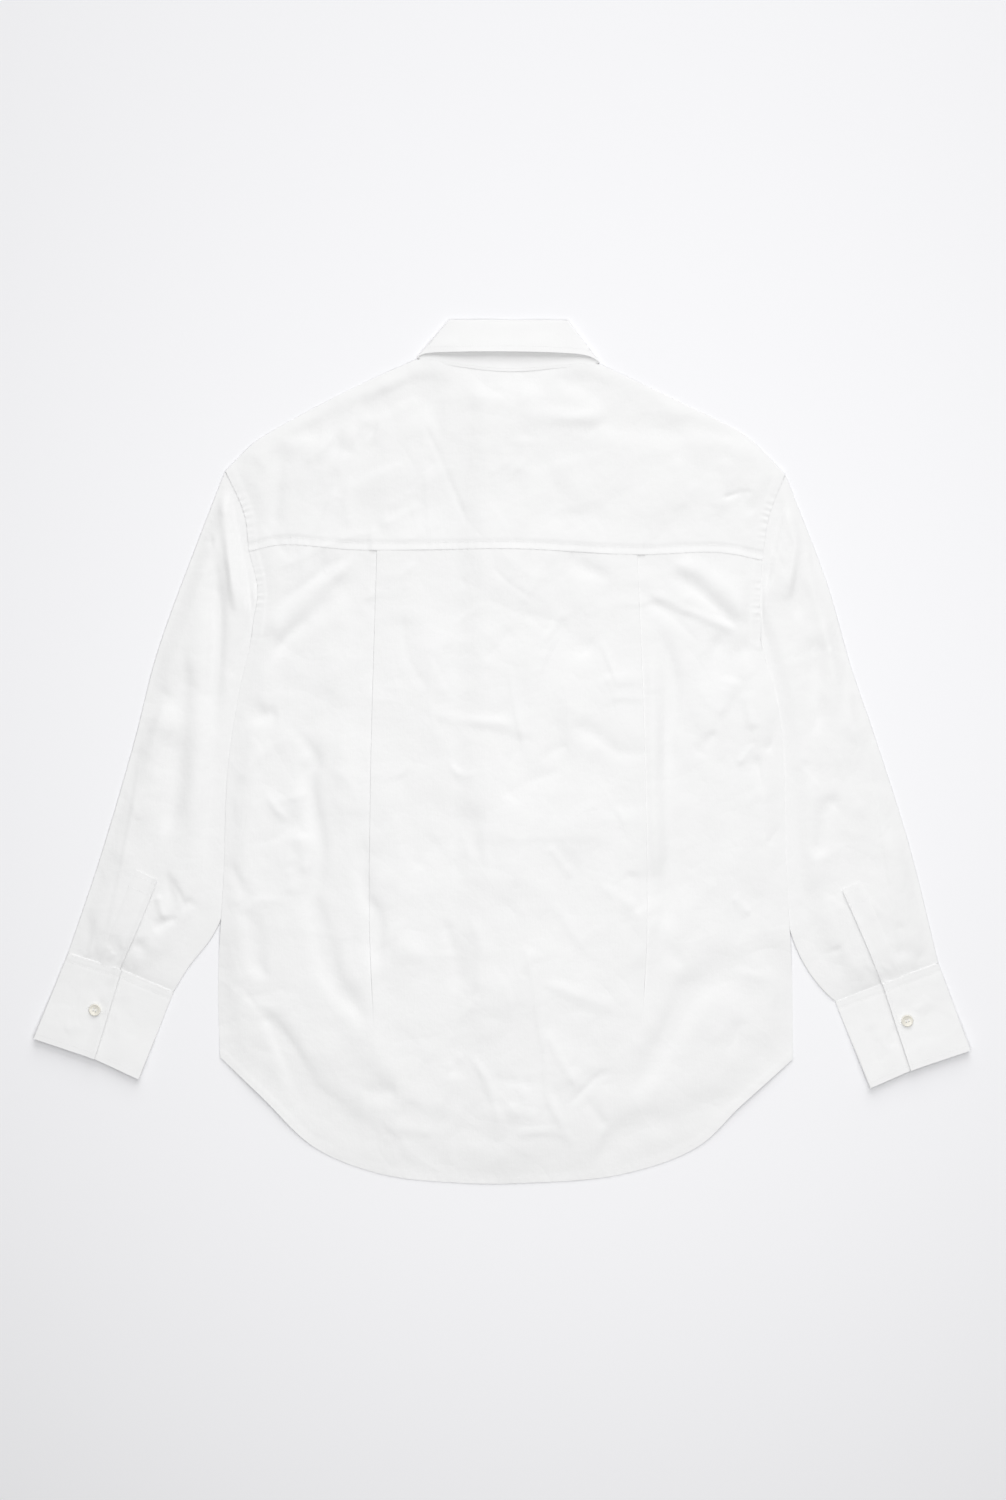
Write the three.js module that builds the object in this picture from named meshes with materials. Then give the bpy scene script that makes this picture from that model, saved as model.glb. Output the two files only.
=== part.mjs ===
// Poplin shirt laid flat on its front, so that the back, the yoke and the collar face up.
// Millimetres. +Z is up, +Y runs from the hem to the collar, and the surface it lies on is z = 0.
// "left" is the side of -X, which is also the wearer's left.

import * as THREE from 'three';

const { lerp, smoothstep } = THREE.MathUtils;

// ---------------------------------------------------------------- driving sizes
const WALL = 1.2;                     // thickness of the cloth
const HALF_WALL = WALL / 2;
const SEAM_GAP = 0.3;                 // free space between two sewn pieces
const EDGE_GAP = 0.45;                // the same space where two edges meet at a slant
const LAYER = WALL + SEAM_GAP;        // rise from the middle of one layer to the next
const TURN = LAYER / 2;               // radius of a pressed fold
const TURN_INSET = TURN + HALF_WALL;  // from a pressed fold's outside to its centre line
const YOKE_LAP = 6;                   // the back runs this far in under the yoke
const LAP_ROOM = 1.2;                 // room above the back's pleats there
const PLEAT_DEPTH = 24;               // from a back pleat's fold to its hidden inner fold
const PLEAT_LAYER = 1.9;              // rise from one layer of a pleat to the next
const PLEAT_NARROW = 1.5;             // its depth where it lets go
const PLEAT_NARROWS = { from: -60, to: -160 };    // y between which its depth comes down to that
const PLEAT_LETS_GO = { from: -165, to: -285 };   // y between which it unrolls and lies flat
const FRONT_HEM_SHARE = 0.83;         // the front hem hangs less deep than the back hem
const LIFT_RAMP = 32;                 // a layer comes down beside what it lies over in this width
const LEAF_ROOM = 0.3;                // room above a leaf, beside the seam gap
const LEAF_MARGIN = 26;               // the fronts stay level this far round a collar leaf
const CENTRE_X = 5;                   // centre line of the shirt
const BAND_WIDTH = 32;
const BAND_HALF = BAND_WIDTH / 2;
const BUTTON_RADIUS = 5.7;            // an 18 line shirt button
const BUTTON_THICKNESS = 2.3;
const BUTTON_BEVEL = 0.5;
const HOLE_RADIUS = 0.75;
const HOLE_OFFSET = 1.6;
const BAND_LIFT = BUTTON_THICKNESS + SEAM_GAP;
const COLLAR_STAND_OFF = 4;           // the collar's lower edge springs up by this much
const COLLAR_ROLL = 1.2;              // the collar's fold reaches this far past the stand
const COLLAR_GAP = 0.9;               // free space between the stand's top edge and the collar
const CUFF_LAP = 15;                  // the under end of a cuff runs this far in under the upper
const BASE_PUFF = 2.2;                // height at which the upper layer lies over the lower one
const SLEEVE_PUFF = 2.4;
const SLEEVE_LAYER = 2.1;             // rise from a sleeve's lower layer to its upper one at a fold
const SLEEVE_TURN = SLEEVE_LAYER / 2;
const SLEEVE_INSET = SLEEVE_TURN + HALF_WALL;
const LEAST_PUFF = 0.4;

// how finely each stretch is divided
const ARM_UPPER = 4;                  // armhole, from the shoulder tip to the yoke seam
const ARM_LOWER = 4;                  // armhole, from the yoke seam to the underarm
const SIDE_STEPS = 13;                // side seam, from the underarm to the hem
const UNDERARM = ARM_UPPER + ARM_LOWER;
const WING_END = 2;                   // armhole step at which the front yoke seam starts
const YOKE_ROWS = 8;
const SHOULDER_STEPS = 8;
const NECK_STEPS = 6;
const SLEEVE_ROWS = 16;
const CENTRE_STEPS = 10;              // across the back, between the pleats

const CLOTH = new THREE.Color('#f7f8f7');
const BUTTON = new THREE.Color('#e4e0d4');

// ---------------------------------------------------------------- outline
// Each row is a point that the edge passes through.
const SHOULDER = {
  left: [
    { x: -265.3, y: 269.1 }, { x: -237.9, y: 296.2 }, { x: -194.1, y: 322.2 },
    { x: -144.2, y: 348.2 }, { x: -80.6, y: 376.9 },
  ],
  right: [
    { x: 271.5, y: 265.9 }, { x: 255.8, y: 282.6 }, { x: 232.9, y: 303.5 },
    { x: 176.7, y: 332.5 }, { x: 92.4, y: 372.2 },
  ],
};
const ARMHOLE_UPPER = {
  left: [{ x: -265.3, y: 269.1 }, { x: -247.2, y: 228.5 }, { x: -242.4, y: 192 }],
  right: [{ x: 271.5, y: 265.9 }, { x: 255.8, y: 224.3 }, { x: 249.6, y: 183.6 }],
};
const ARMHOLE_LOWER = {
  left: [{ x: -242.4, y: 192 }, { x: -234.1, y: 155.5 }, { x: -238, y: 112.4 }],
  right: [{ x: 249.6, y: 183.6 }, { x: 247.2, y: 145 }, { x: 246.5, y: 105.8 }],
};
const SIDE = {
  left: [
    { x: -238, y: 112.4 }, { x: -249, y: 70.6 }, { x: -262.4, y: -13.2 }, { x: -266.8, y: -119 },
    { x: -272.3, y: -220.9 }, { x: -270.3, y: -293.3 },
  ],
  right: [
    { x: 246.5, y: 105.8 }, { x: 263, y: 52.9 }, { x: 269.6, y: 0 }, { x: 272, y: -97 },
    { x: 278.6, y: -225.8 }, { x: 279, y: -295.3 },
  ],
};
const HEM = [
  { x: -270.3, y: -293.3 }, { x: -229.2, y: -332.6 }, { x: -180.2, y: -379.6 },
  { x: -117.5, y: -405.1 }, { x: -45, y: -413.8 }, { x: 17.3, y: -414.3 }, { x: 114.1, y: -405.9 },
  { x: 187, y: -379.9 }, { x: 228.7, y: -340.3 }, { x: 279, y: -295.3 },
];
const YOKE_SEAM = [
  { x: -242.4, y: 192 }, { x: -211.9, y: 198.2 }, { x: -137.9, y: 193.4 }, { x: 17.3, y: 194.1 },
  { x: 128.8, y: 188.8 }, { x: 207.9, y: 190.9 }, { x: 249.6, y: 183.6 },
];
const NECK = [
  { x: -80.6, y: 376.9 }, { x: -53.5, y: 372 }, { x: 5.5, y: 366.1 }, { x: 54.8, y: 369 },
  { x: 92.4, y: 372.2 },
];
const PLEAT = {
  left: [{ x: -119.6, y: 198 }, { x: -125.8, y: -31 }, { x: -126, y: -200 }, { x: -112, y: -410 }],
  right: [{ x: 129.2, y: 198 }, { x: 136.4, y: 2 }, { x: 138, y: -200 }, { x: 122, y: -410 }],
};
const SLEEVE_OUTER = {
  left: [
    { x: -266, y: 268 }, { x: -292, y: 201.5 }, { x: -331.3, y: 93.7 }, { x: -353.3, y: 8 },
    { x: -386.4, y: -104.2 }, { x: -416.6, y: -193.4 },
  ],
  right: [
    { x: 272.2, y: 265 }, { x: 311.7, y: 162.3 }, { x: 335, y: 81.5 }, { x: 355.9, y: 20.3 },
    { x: 389.5, y: -85 }, { x: 418.9, y: -202.8 },
  ],
};
const SLEEVE_INNER = {
  left: [{ x: -238.4, y: 112 }, { x: -268.8, y: -159.8 }, { x: -301.9, y: -209.2 }, { x: -314.9, y: -230.9 }],
  right: [{ x: 246.9, y: 105.4 }, { x: 277.2, y: -175.7 }, { x: 305.1, y: -226.7 }, { x: 319.4, y: -240.2 }],
};
// The cuff's corners at its seam and at its free edge: outer fold, slit, inner fold.
const CUFF = {
  left: {
    seam: [{ x: -416.6, y: -193.4 }, { x: -364.8, y: -209.3 }, { x: -314.9, y: -230.9 }],
    free: [{ x: -449.2, y: -275 }, { x: -390.2, y: -294.8 }, { x: -348.1, y: -314.4 }],
  },
  right: {
    seam: [{ x: 418.9, y: -202.8 }, { x: 365, y: -223 }, { x: 319.4, y: -240.2 }],
    free: [{ x: 449.2, y: -286.4 }, { x: 391.6, y: -305.8 }, { x: 352.8, y: -322.9 }],
  },
};
// Sleeve placket: its free edge from the cuff up, and its other edge.
const PLACKET = {
  left: {
    freeEdge: [{ x: -365.4, y: -206 }, { x: -347.5, y: -166.6 }, { x: -330.2, y: -123.4 }],
    innerEdge: [{ x: -388, y: -199 }, { x: -372, y: -155 }, { x: -354.5, y: -111.6 }],
  },
  right: {
    freeEdge: [{ x: 363, y: -219.5 }, { x: 349.6, y: -186.8 }, { x: 325.8, y: -132.8 }],
    innerEdge: [{ x: 386, y: -210.5 }, { x: 371, y: -177 }, { x: 347, y: -123 }],
  },
};
// Where the collar turns over, and the leaves that lie under the fronts. Each row is a station
// round the collar, from its front end to the fold at the side of the neck.
const COLLAR = {
  left: [
    { turnX: 18, turnY: 336, neckX: 18, neckY: 303 },
    { turnX: -8, turnY: 337, neckX: -14, neckY: 303, leafX: -76, leafY: 288 },
    { turnX: -17, turnY: 341, neckX: -26, neckY: 306, leafX: -77.5, leafY: 303 },
    { turnX: -27, turnY: 348, neckX: -37, neckY: 312, leafX: -78.5, leafY: 319 },
    { turnX: -34, turnY: 357, neckX: -49, neckY: 320, leafX: -79.5, leafY: 335 },
    { turnX: -44, turnY: 378, neckX: -79, neckY: 342, leafX: -80, leafY: 350 },
    { turnX: -48, turnY: 395, neckX: -79.8, neckY: 359.5, leafX: -80.3, leafY: 364 },
    { turnX: -50.4, turnY: 411.8, neckX: -80.6, neckY: 376.9, leafX: -80.6, leafY: 376.9 },
  ],
  right: [
    { turnX: -11, turnY: 336, neckX: -11, neckY: 303 },
    { turnX: 18, turnY: 337, neckX: 21.3, neckY: 303, leafX: 88, leafY: 286 },
    { turnX: 27, turnY: 341, neckX: 36, neckY: 306, leafX: 89.3, leafY: 301 },
    { turnX: 37, turnY: 348, neckX: 47, neckY: 312, leafX: 90.3, leafY: 317 },
    { turnX: 45, turnY: 357, neckX: 59, neckY: 320, leafX: 91.3, leafY: 333 },
    { turnX: 56, turnY: 378, neckX: 91, neckY: 339, leafX: 92, leafY: 348 },
    { turnX: 60, turnY: 395, neckX: 91.7, neckY: 355.6, leafX: 92.2, leafY: 361 },
    { turnX: 63, turnY: 411.2, neckX: 92.4, neckY: 372.2, leafX: 92.4, leafY: 372.2 },
  ],
};
const COLLAR_EDGE = [
  { x: -80.6, y: 379.5 }, { x: -53.5, y: 385 }, { x: 7.1, y: 385.7 }, { x: 66, y: 383.3 },
  { x: 92.4, y: 376 },
];
const BUTTON_ROWS = { first: 322, second: 268, pitch: 88, count: 7 };
const CUFF_BUTTON = {
  left: { x: -390.2, y: -247.7 },
  right: { x: 388.3, y: -258.1 },
};

// ---------------------------------------------------------------- largest folds
// height > 0 is a ridge and height < 0 a trough; half is the half width of the fold.
const BODY_FOLDS = [
  { half: 15, height: -2.6, route: [[-40, 368], [-103, 347], [-176, 320], [-213, 309]] },
  { half: 14, height: 1.6, route: [[-70, 345], [-107, 322], [-150, 318]] },
  { half: 15, height: -2.4, route: [[58, 362], [125, 347], [160, 335]] },
  { half: 14, height: -2.4, route: [[79, 322], [139, 312], [187, 313], [233, 295]] },
  { half: 13, height: -1.8, route: [[-208, 300], [-217, 237], [-221, 205]] },
  { half: 14, height: 2.4, route: [[-233, 120], [-206, 149], [-174, 170], [-140, 185]] },
  { half: 13, height: -2.2, route: [[-224, 93], [-203, 124], [-174, 145], [-146, 165]] },
  { half: 14, height: -3, route: [[158, 176], [187, 164], [208, 147], [235, 114]] },
  { half: 14, height: 2.6, route: [[132, 160], [166, 144], [204, 128], [236, 105]] },
  { half: 15, height: -2.6, route: [[150, 132], [162, 72], [158, -48], [160, -141], [168, -190]] },
  { half: 13, height: 2, route: [[145, 80], [147, -47], [150, -143]] },
  { half: 16, height: -2.6, route: [[-206, 28], [-184, -10], [-178, -108], [-160, -221], [-134, -285]] },
  { half: 15, height: -2, route: [[-130, -75], [-126, -150], [-123, -215]] },
  { half: 20, height: -3, route: [[-233, -246], [-198, -303], [-164, -346], [-94, -389]] },
  { half: 18, height: -2.2, route: [[228, -326], [187, -346], [145, -359], [77, -395]] },
  { half: 20, height: -2.6, route: [[218, -182], [180, -234], [160, -271], [125, -330]] },
  { half: 13, height: 1.8, route: [[23, -192], [41, -288], [54, -351]] },
  { half: 14, height: 1.8, route: [[-69, 38], [-36, 30], [16, 26]] },
  { half: 16, height: -1.6, route: [[-28, -40], [-21, -125]] },
  { half: 18, height: 2.2, route: [[-150, -180], [-120, -290], [-70, -350]] },
  { half: 18, height: 2, route: [[60, 120], [75, 0], [60, -120]] },
  { half: 18, height: 1.8, route: [[-70, 130], [-60, 60], [-75, -60]] },
];
const SLEEVE_FOLDS = {
  left: [
    { half: 12, height: -2.4, route: [[-274, 205], [-273, 120], [-277, -14], [-277, -110]] },
    { half: 14, height: 2.2, route: [[-290, 190], [-292, 60], [-296, -60], [-312, -140]] },
    { half: 13, height: -2, route: [[-306, 103], [-309, 3], [-326, -93]] },
    { half: 14, height: 1.8, route: [[-322, 60], [-332, -20], [-348, -80]] },
  ],
  right: [
    { half: 13, height: -2.2, route: [[292, 223], [292, 160], [302, 100]] },
    { half: 14, height: 2, route: [[306, 150], [318, 60], [330, -30]] },
    { half: 13, height: -2.2, route: [[302, 116], [303, 35], [309, -63], [302, -104]] },
    { half: 14, height: 1.8, route: [[322, 40], [335, -60], [342, -110]] },
    { half: 12, height: -1.8, route: [[336, 72], [346, 8], [364, -85]] },
  ],
};

// ---------------------------------------------------------------- curves and lines
const flat = ({ x, y }) => new THREE.Vector3(x, y, 0);
const SIDES = ['left', 'right'];
const outward = (side) => (side === 'left' ? -1 : 1);

/** Evenly spaced points on a smooth curve through a table's rows. */
function alongCurve(rows, steps) {
  const curve = new THREE.CatmullRomCurve3(rows.map(flat), false, 'centripetal');
  curve.arcLengthDivisions = 600;
  return curve.getSpacedPoints(steps);
}

/** Point at a share of a line's length. */
function alongLine(points, share) {
  const spans = points.slice(1).map((point, index) => point.distanceTo(points[index]));
  const total = spans.reduce((sum, span) => sum + span, 0);
  let rest = THREE.MathUtils.clamp(share, 0, 1) * total;
  let index = 0;
  while (index < spans.length - 1 && rest > spans[index]) {
    rest -= spans[index];
    index += 1;
  }
  return points[index].clone().lerp(points[index + 1], rest / spans[index]);
}

/** Value of one coordinate on a line where its other coordinate is given. */
function readLine(points, known, wanted, value) {
  const ordered = points[0][known] < points.at(-1)[known] ? points : [...points].reverse();
  const next = ordered.findIndex((point) => point[known] >= value);
  if (next === 0) return ordered[0][wanted];
  if (next < 0) return ordered.at(-1)[wanted];
  const [before, after] = [ordered[next - 1], ordered[next]];
  const share = (value - before[known]) / (after[known] - before[known]);
  return lerp(before[wanted], after[wanted], share);
}
const heightAt = (line, x) => readLine(line, 'x', 'y', x);
const widthAt = (line, y) => readLine(line, 'y', 'x', y);

/** How far a line that runs from left to right bows off its own chord. */
function bow(line, share) {
  const [first, last] = [line[0], line.at(-1)];
  return heightAt(line, lerp(first.x, last.x, share)) - lerp(first.y, last.y, share);
}

/** Distance from a point to a route, and the share of the route where it is nearest. */
function nearRoute(route, x, y) {
  let best = { distance: Infinity, share: 0 };
  const spans = route.length - 1;
  for (let span = 0; span < spans; span += 1) {
    const [ax, ay] = route[span];
    const [bx, by] = route[span + 1];
    const length2 = (bx - ax) ** 2 + (by - ay) ** 2;
    const along = THREE.MathUtils.clamp(((x - ax) * (bx - ax) + (y - ay) * (by - ay)) / length2, 0, 1);
    const distance = Math.hypot(x - lerp(ax, bx, along), y - lerp(ay, by, along));
    if (distance < best.distance) best = { distance, share: (span + along) / spans };
  }
  return best;
}

/** Sum of the folds at a point. Each dies away at its sides and its ends. */
function foldHeight(folds, x, y) {
  return folds.reduce((sum, { half, height, route }) => {
    const { distance, share } = nearRoute(route, x, y);
    const ends = smoothstep(share, 0, 0.2) * (1 - smoothstep(share, 0.8, 1));
    return sum + height * ends * Math.exp(-((distance / half) ** 2));
  }, 0);
}

// The edges that several pieces share.
const armhole = {};
const bodyEdge = {};
const sleeveInner = {};
for (const side of SIDES) {
  const upper = alongCurve(ARMHOLE_UPPER[side], ARM_UPPER);
  const lower = alongCurve(ARMHOLE_LOWER[side], ARM_LOWER);
  armhole[side] = [...upper, ...lower.slice(1)];
  bodyEdge[side] = [...armhole[side], ...alongCurve(SIDE[side], SIDE_STEPS).slice(1)];
  sleeveInner[side] = alongCurve(SLEEVE_INNER[side], 60);
}
const hemLine = alongCurve(HEM, 120);
const yokeSeam = alongCurve(YOKE_SEAM, 60);
const neckLine = alongCurve(NECK, NECK_STEPS);
const pleatLine = { left: alongCurve(PLEAT.left, 60), right: alongCurve(PLEAT.right, 60) };

// ---------------------------------------------------------------- how the layers lie
/** Share of a full lift beside an object, from 1 on its level margin to 0 past the ramp. */
const rampDown = (distance, margin = 3) => 1 - smoothstep(distance, margin, margin + LIFT_RAMP);

/** The body lies over the sleeve's inner edge from the underarm to where the sleeve comes out. */
function sleeveLift(side, x, y) {
  const rows = SLEEVE_INNER[side];
  const [underarmY, exitY] = [rows[0].y, rows[1].y];
  const edgeX = widthAt(sleeveInner[side], Math.min(y, underarmY));
  const inward = (edgeX - x) * outward(side);
  const above = 1 - smoothstep(y, underarmY + 38, underarmY + 82);
  const below = smoothstep(y, exitY - 55, exitY - 6);
  return (SLEEVE_LAYER + LAYER) * rampDown(inward) * above * below;
}

const leafOutline = (side) => [
  ...COLLAR[side].slice(1).map(({ turnX, turnY }) => [turnX, turnY]),
  ...COLLAR[side].slice(1).reverse().map(({ leafX, leafY }) => [leafX, leafY]),
];
const leaves = { left: leafOutline('left'), right: leafOutline('right') };

/** The fronts lie over the collar's leaves. */
function leafLift(side, x, y) {
  const outline = leaves[side];
  let inside = false;
  outline.forEach(([ax, ay], index) => {
    const [bx, by] = outline[(index + 1) % outline.length];
    if ((ay > y) !== (by > y) && x < ax + ((bx - ax) * (y - ay)) / (by - ay)) inside = !inside;
  });
  const distance = inside ? 0 : nearRoute([...outline, outline[0]], x, y).distance;
  return (LAYER + LEAF_ROOM) * rampDown(distance, LEAF_MARGIN);
}

const beyondBand = (x) => Math.abs(x - CENTRE_X) - BAND_HALF;
const bandLift = (x) => BAND_LIFT * rampDown(beyondBand(x));
const underlap = (x) => LAYER * rampDown(beyondBand(x));

/** Middle of the lowest body layer. */
function lowerZ(x, y) {
  return HALF_WALL + Math.max(
    sleeveLift('left', x, y), sleeveLift('right', x, y),
    leafLift('left', x, y), leafLift('right', x, y), bandLift(x),
  );
}

/** 0 on the body's outline, 1 well inside it. */
function insideShare(x, y) {
  const fromSide = Math.min(x - widthAt(bodyEdge.left, y), widthAt(bodyEdge.right, y) - x);
  const fromHem = y - heightAt(hemLine, x);
  return smoothstep(fromSide, -6, 26) * lerp(0.35, 1, smoothstep(fromHem, 0, 30));
}

// Path through one back pleat, from the side panel to the centre panel: the direction of each
// step in degrees from straight inwards, and how much of the depth or of a turn's radius it is.
const PLEAT_STEPS = [
  { turn: 0, limb: 0.5 }, { turn: 0, limb: 0.5 },
  { turn: 30, arc: 1 }, { turn: 90, arc: 1 }, { turn: 150, arc: 1 },
  { turn: 180, limb: 0.5 }, { turn: 180, limb: 0.5 },
  { turn: 150, arc: 1 }, { turn: 90, arc: 1 }, { turn: 30, arc: 1 },
  { turn: 0, limb: 0.5 }, { turn: 0, limb: 0.5 },
];
const PLEAT_MIDDLE = 6;               // its middle point

/** Points through a pleat at one height of the back: x inwards from its fold, and rise. */
function pleatPath(y) {
  const held = smoothstep(y, PLEAT_LETS_GO.to, PLEAT_LETS_GO.from);
  const depth = lerp(PLEAT_NARROW, PLEAT_DEPTH, smoothstep(y, PLEAT_NARROWS.to, PLEAT_NARROWS.from));
  const points = [{ x: 0, rise: 0 }];
  for (const { turn, limb = 0, arc = 0 } of PLEAT_STEPS) {
    const length = limb * depth + (arc * PLEAT_LAYER) / 2;
    const angle = THREE.MathUtils.degToRad(turn * held);
    const { x, rise } = points.at(-1);
    points.push({ x: x + length * Math.cos(angle), rise: rise + length * Math.sin(angle) });
  }
  const shift = depth / 2 - points[PLEAT_MIDDLE].x;
  return points.map(({ x, rise }) => ({ x: x + shift, rise }));
}

/** The centre panel stands on the pleats' hidden layers beside each pleat's fold. */
function pleatRise(x, y) {
  const lift = Math.max(...SIDES.map((side) => {
    const inward = (widthAt(pleatLine[side], y) - x) * outward(side);
    return inward < -1 ? 0 : 1 - 0.6 * smoothstep(inward, PLEAT_DEPTH, 3 * PLEAT_DEPTH);
  }));
  return pleatPath(y).at(-1).rise * lift;
}

/** Height that the upper body layer keeps over the one below it. */
function bodyPuff(x, y) {
  const folds = BASE_PUFF + foldHeight(BODY_FOLDS, x, y);
  return insideShare(x, y) * Math.max(folds, LEAST_PUFF);
}
const upperZ = (x, y) => lowerZ(x, y) + underlap(x) + LAYER + bodyPuff(x, y);

// ---------------------------------------------------------------- solids
const UPRIGHT = 0.8;                  // steeper faces than this are thickened straight up and down

/**
 * Closed wall of even thickness about a grid of middle points.
 * ring joins each row's end to its start, and keep(row, column) leaves faces out.
 */
function wallGeometry(grid, { ring = false, keep = () => true } = {}) {
  const columns = grid[0].length;
  const middle = grid.flat();
  const quads = [];
  for (let row = 0; row < grid.length - 1; row += 1) {
    for (let column = 0; column < (ring ? columns : columns - 1); column += 1) {
      const next = (column + 1) % columns;
      const [near, far] = [row * columns, (row + 1) * columns];
      if (keep(row, column)) quads.push([near + column, near + next, far + next, far + column]);
    }
  }
  const normals = middle.map(() => new THREE.Vector3());
  // Layers that lie over each other are split along the same diagonal, seen from above.
  const rises = (from, to) => (
    (middle[to].x - middle[from].x) * (middle[to].y - middle[from].y) > 0
  );
  const faces = quads.flatMap(([a, b, c, d]) => (
    rises(a, c) ? [[a, b, c], [a, c, d]] : [[a, b, d], [b, c, d]]
  ));
  for (const [a, b, c] of faces) {
    const first = middle[b].clone().sub(middle[a]);
    const normal = first.cross(middle[c].clone().sub(middle[a])).normalize();
    for (const corner of [a, b, c]) normals[corner].add(normal);
  }
  const slots = new Map();
  const positions = [];
  for (const corner of new Set(faces.flat())) {
    const normal = normals[corner].normalize();
    if (Math.abs(normal.z) > UPRIGHT) normal.set(0, 0, Math.sign(normal.z));
    slots.set(corner, positions.length / 3);
    for (const reach of [HALF_WALL, -HALF_WALL]) {
      positions.push(...middle[corner].clone().addScaledVector(normal, reach).toArray());
    }
  }
  const outer = (corner) => slots.get(corner);
  const inner = (corner) => slots.get(corner) + 1;
  const triangles = faces.flatMap(([a, b, c]) => [
    [outer(a), outer(b), outer(c)], [inner(a), inner(c), inner(b)],
  ]);
  const edges = new Set(faces.flatMap(([a, b, c]) => [`${a},${b}`, `${b},${c}`, `${c},${a}`]));
  for (const edge of edges) {
    const [a, b] = edge.split(',').map(Number);
    if (!edges.has(`${b},${a}`)) {
      triangles.push([outer(b), outer(a), inner(a)], [outer(b), inner(a), inner(b)]);
    }
  }
  return facingOut(positions, triangles);
}

/** Geometry whose faces point out, whichever way its grid ran. */
function facingOut(positions, triangles) {
  const corner = (index) => new THREE.Vector3().fromArray(positions, index * 3);
  const volume = triangles.reduce(
    (sum, [a, b, c]) => sum + corner(a).dot(corner(b).cross(corner(c))), 0,
  );
  const turned = volume < 0 ? triangles.map(([a, b, c]) => [a, c, b]) : triangles;
  const geometry = new THREE.BufferGeometry();
  geometry.setAttribute('position', new THREE.Float32BufferAttribute(positions, 3));
  geometry.setIndex(turned.flat());
  geometry.computeVertexNormals();
  return geometry;
}

const shirt = new THREE.Group();

/** Adds one named piece. */
function addPiece(name, geometry, colour, roughness) {
  const material = new THREE.MeshStandardMaterial({ color: colour, roughness, metalness: 0 });
  material.side = THREE.DoubleSide;
  const mesh = new THREE.Mesh(geometry, material);
  mesh.name = name;
  shirt.add(mesh);
  return mesh;
}
const addCloth = (name, grid, options) => addPiece(name, wallGeometry(grid, options), CLOTH, 0.9);

/** Angles at the inner points of a pressed fold, from its lower layer to its upper one. */
const TURN_ANGLES = [-Math.PI / 6, Math.PI / 6];

// ---------------------------------------------------------------- back
/** A row across the body: a chord between its two edges, bowed towards the top line and the hem. */
function bodyRow(left, right, topLine, topShare, hemShare) {
  return (x) => {
    const share = (x - left.x) / (right.x - left.x);
    const chord = lerp(left.y, right.y, share);
    return chord + topShare * bow(topLine, share) + hemShare * bow(hemLine, share);
  };
}

/** x of a pleat where a row crosses it. */
function pleatCrossing(side, rowY) {
  let x = pleatLine[side][0].x;
  for (let pass = 0; pass < 3; pass += 1) x = widthAt(pleatLine[side], rowY(x));
  return x;
}

const SIDE_OFFSETS = [0, 14, 28, 44, 66, 90, 115];
const SIDE_PANEL = 140;               // width of a side panel that the offsets are set out on

/** One row of middle points across the back, through the three layers of both pleats. */
function backRow(edges, rowY) {
  const ends = {};
  const halves = SIDES.map((side) => {
    const inward = -outward(side);
    const foldX = pleatCrossing(side, rowY);
    const foldY = rowY(foldX);
    const path = pleatPath(foldY);
    const stretch = (Math.abs(foldX - edges[side].x) + path[0].x) / SIDE_PANEL;
    const panel = SIDE_OFFSETS.map((offset) => ({ x: edges[side].x + inward * offset * stretch, rise: 0 }));
    const pleat = path.map(({ x, rise }) => ({ x: foldX + inward * x, rise }));
    ends[side] = pleat.at(-1).x;
    return [...panel, ...pleat];
  });
  const place = ({ x, rise }) => {
    const y = rowY(x);
    return new THREE.Vector3(x, y, upperZ(x, y) + rise);
  };
  const centre = [];
  for (let step = 1; step < CENTRE_STEPS; step += 1) {
    const x = lerp(ends.left, ends.right, step / CENTRE_STEPS);
    const y = rowY(x);
    centre.push(new THREE.Vector3(x, y, upperZ(x, y) + pleatRise(x, y)));
  }
  return [...halves[0].map(place), ...centre, ...halves[1].reverse().map(place)];
}

/** Rows down the back, from the lap under the yoke to the hem. */
function backGrid() {
  const lapShare = YOKE_LAP / armhole.left[ARM_UPPER].distanceTo(armhole.left[ARM_UPPER - 1]);
  const lapEdge = (side) => armhole[side][ARM_UPPER].clone().lerp(armhole[side][ARM_UPPER - 1], lapShare);
  const rows = [[lapEdge('left'), lapEdge('right'), 1, 0]];
  const last = bodyEdge.left.length - 1;
  for (let step = ARM_UPPER; step <= last; step += 1) {
    const topShare = Math.max(1 - (step - ARM_UPPER) / ARM_LOWER, 0);
    const hemShare = Math.max((step - UNDERARM) / SIDE_STEPS, 0) ** 2;
    rows.push([bodyEdge.left[step], bodyEdge.right[step], topShare, hemShare]);
  }
  return rows.map(([left, right, topShare, hemShare]) => (
    backRow({ left, right }, bodyRow(left, right, yokeSeam, topShare, hemShare))
  ));
}
addCloth('back', backGrid());

// ---------------------------------------------------------------- yoke
const shoulderLine = {
  left: alongCurve(SHOULDER.left, SHOULDER_STEPS),
  right: alongCurve(SHOULDER.right, SHOULDER_STEPS).reverse(),
};
const yokeTop = [...shoulderLine.left, ...neckLine.slice(1, -1), ...shoulderLine.right];
const LEFT_NECK = SHOULDER_STEPS;
const RIGHT_NECK = SHOULDER_STEPS + NECK_STEPS;

/** Direction out of the shoulder's fold at a column of the yoke; at its ends it follows the seam. */
function shoulderNormal(column) {
  if (column === LEFT_NECK || column === RIGHT_NECK) return new THREE.Vector3(0, 1, 0);
  if (column === 0) return armhole.left[0].clone().sub(armhole.left[1]).normalize();
  if (column === yokeTop.length - 1) return armhole.right[0].clone().sub(armhole.right[1]).normalize();
  const along = yokeTop[column + 1].clone().sub(yokeTop[column - 1]).normalize();
  return new THREE.Vector3(-along.y, along.x, 0);
}

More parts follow.
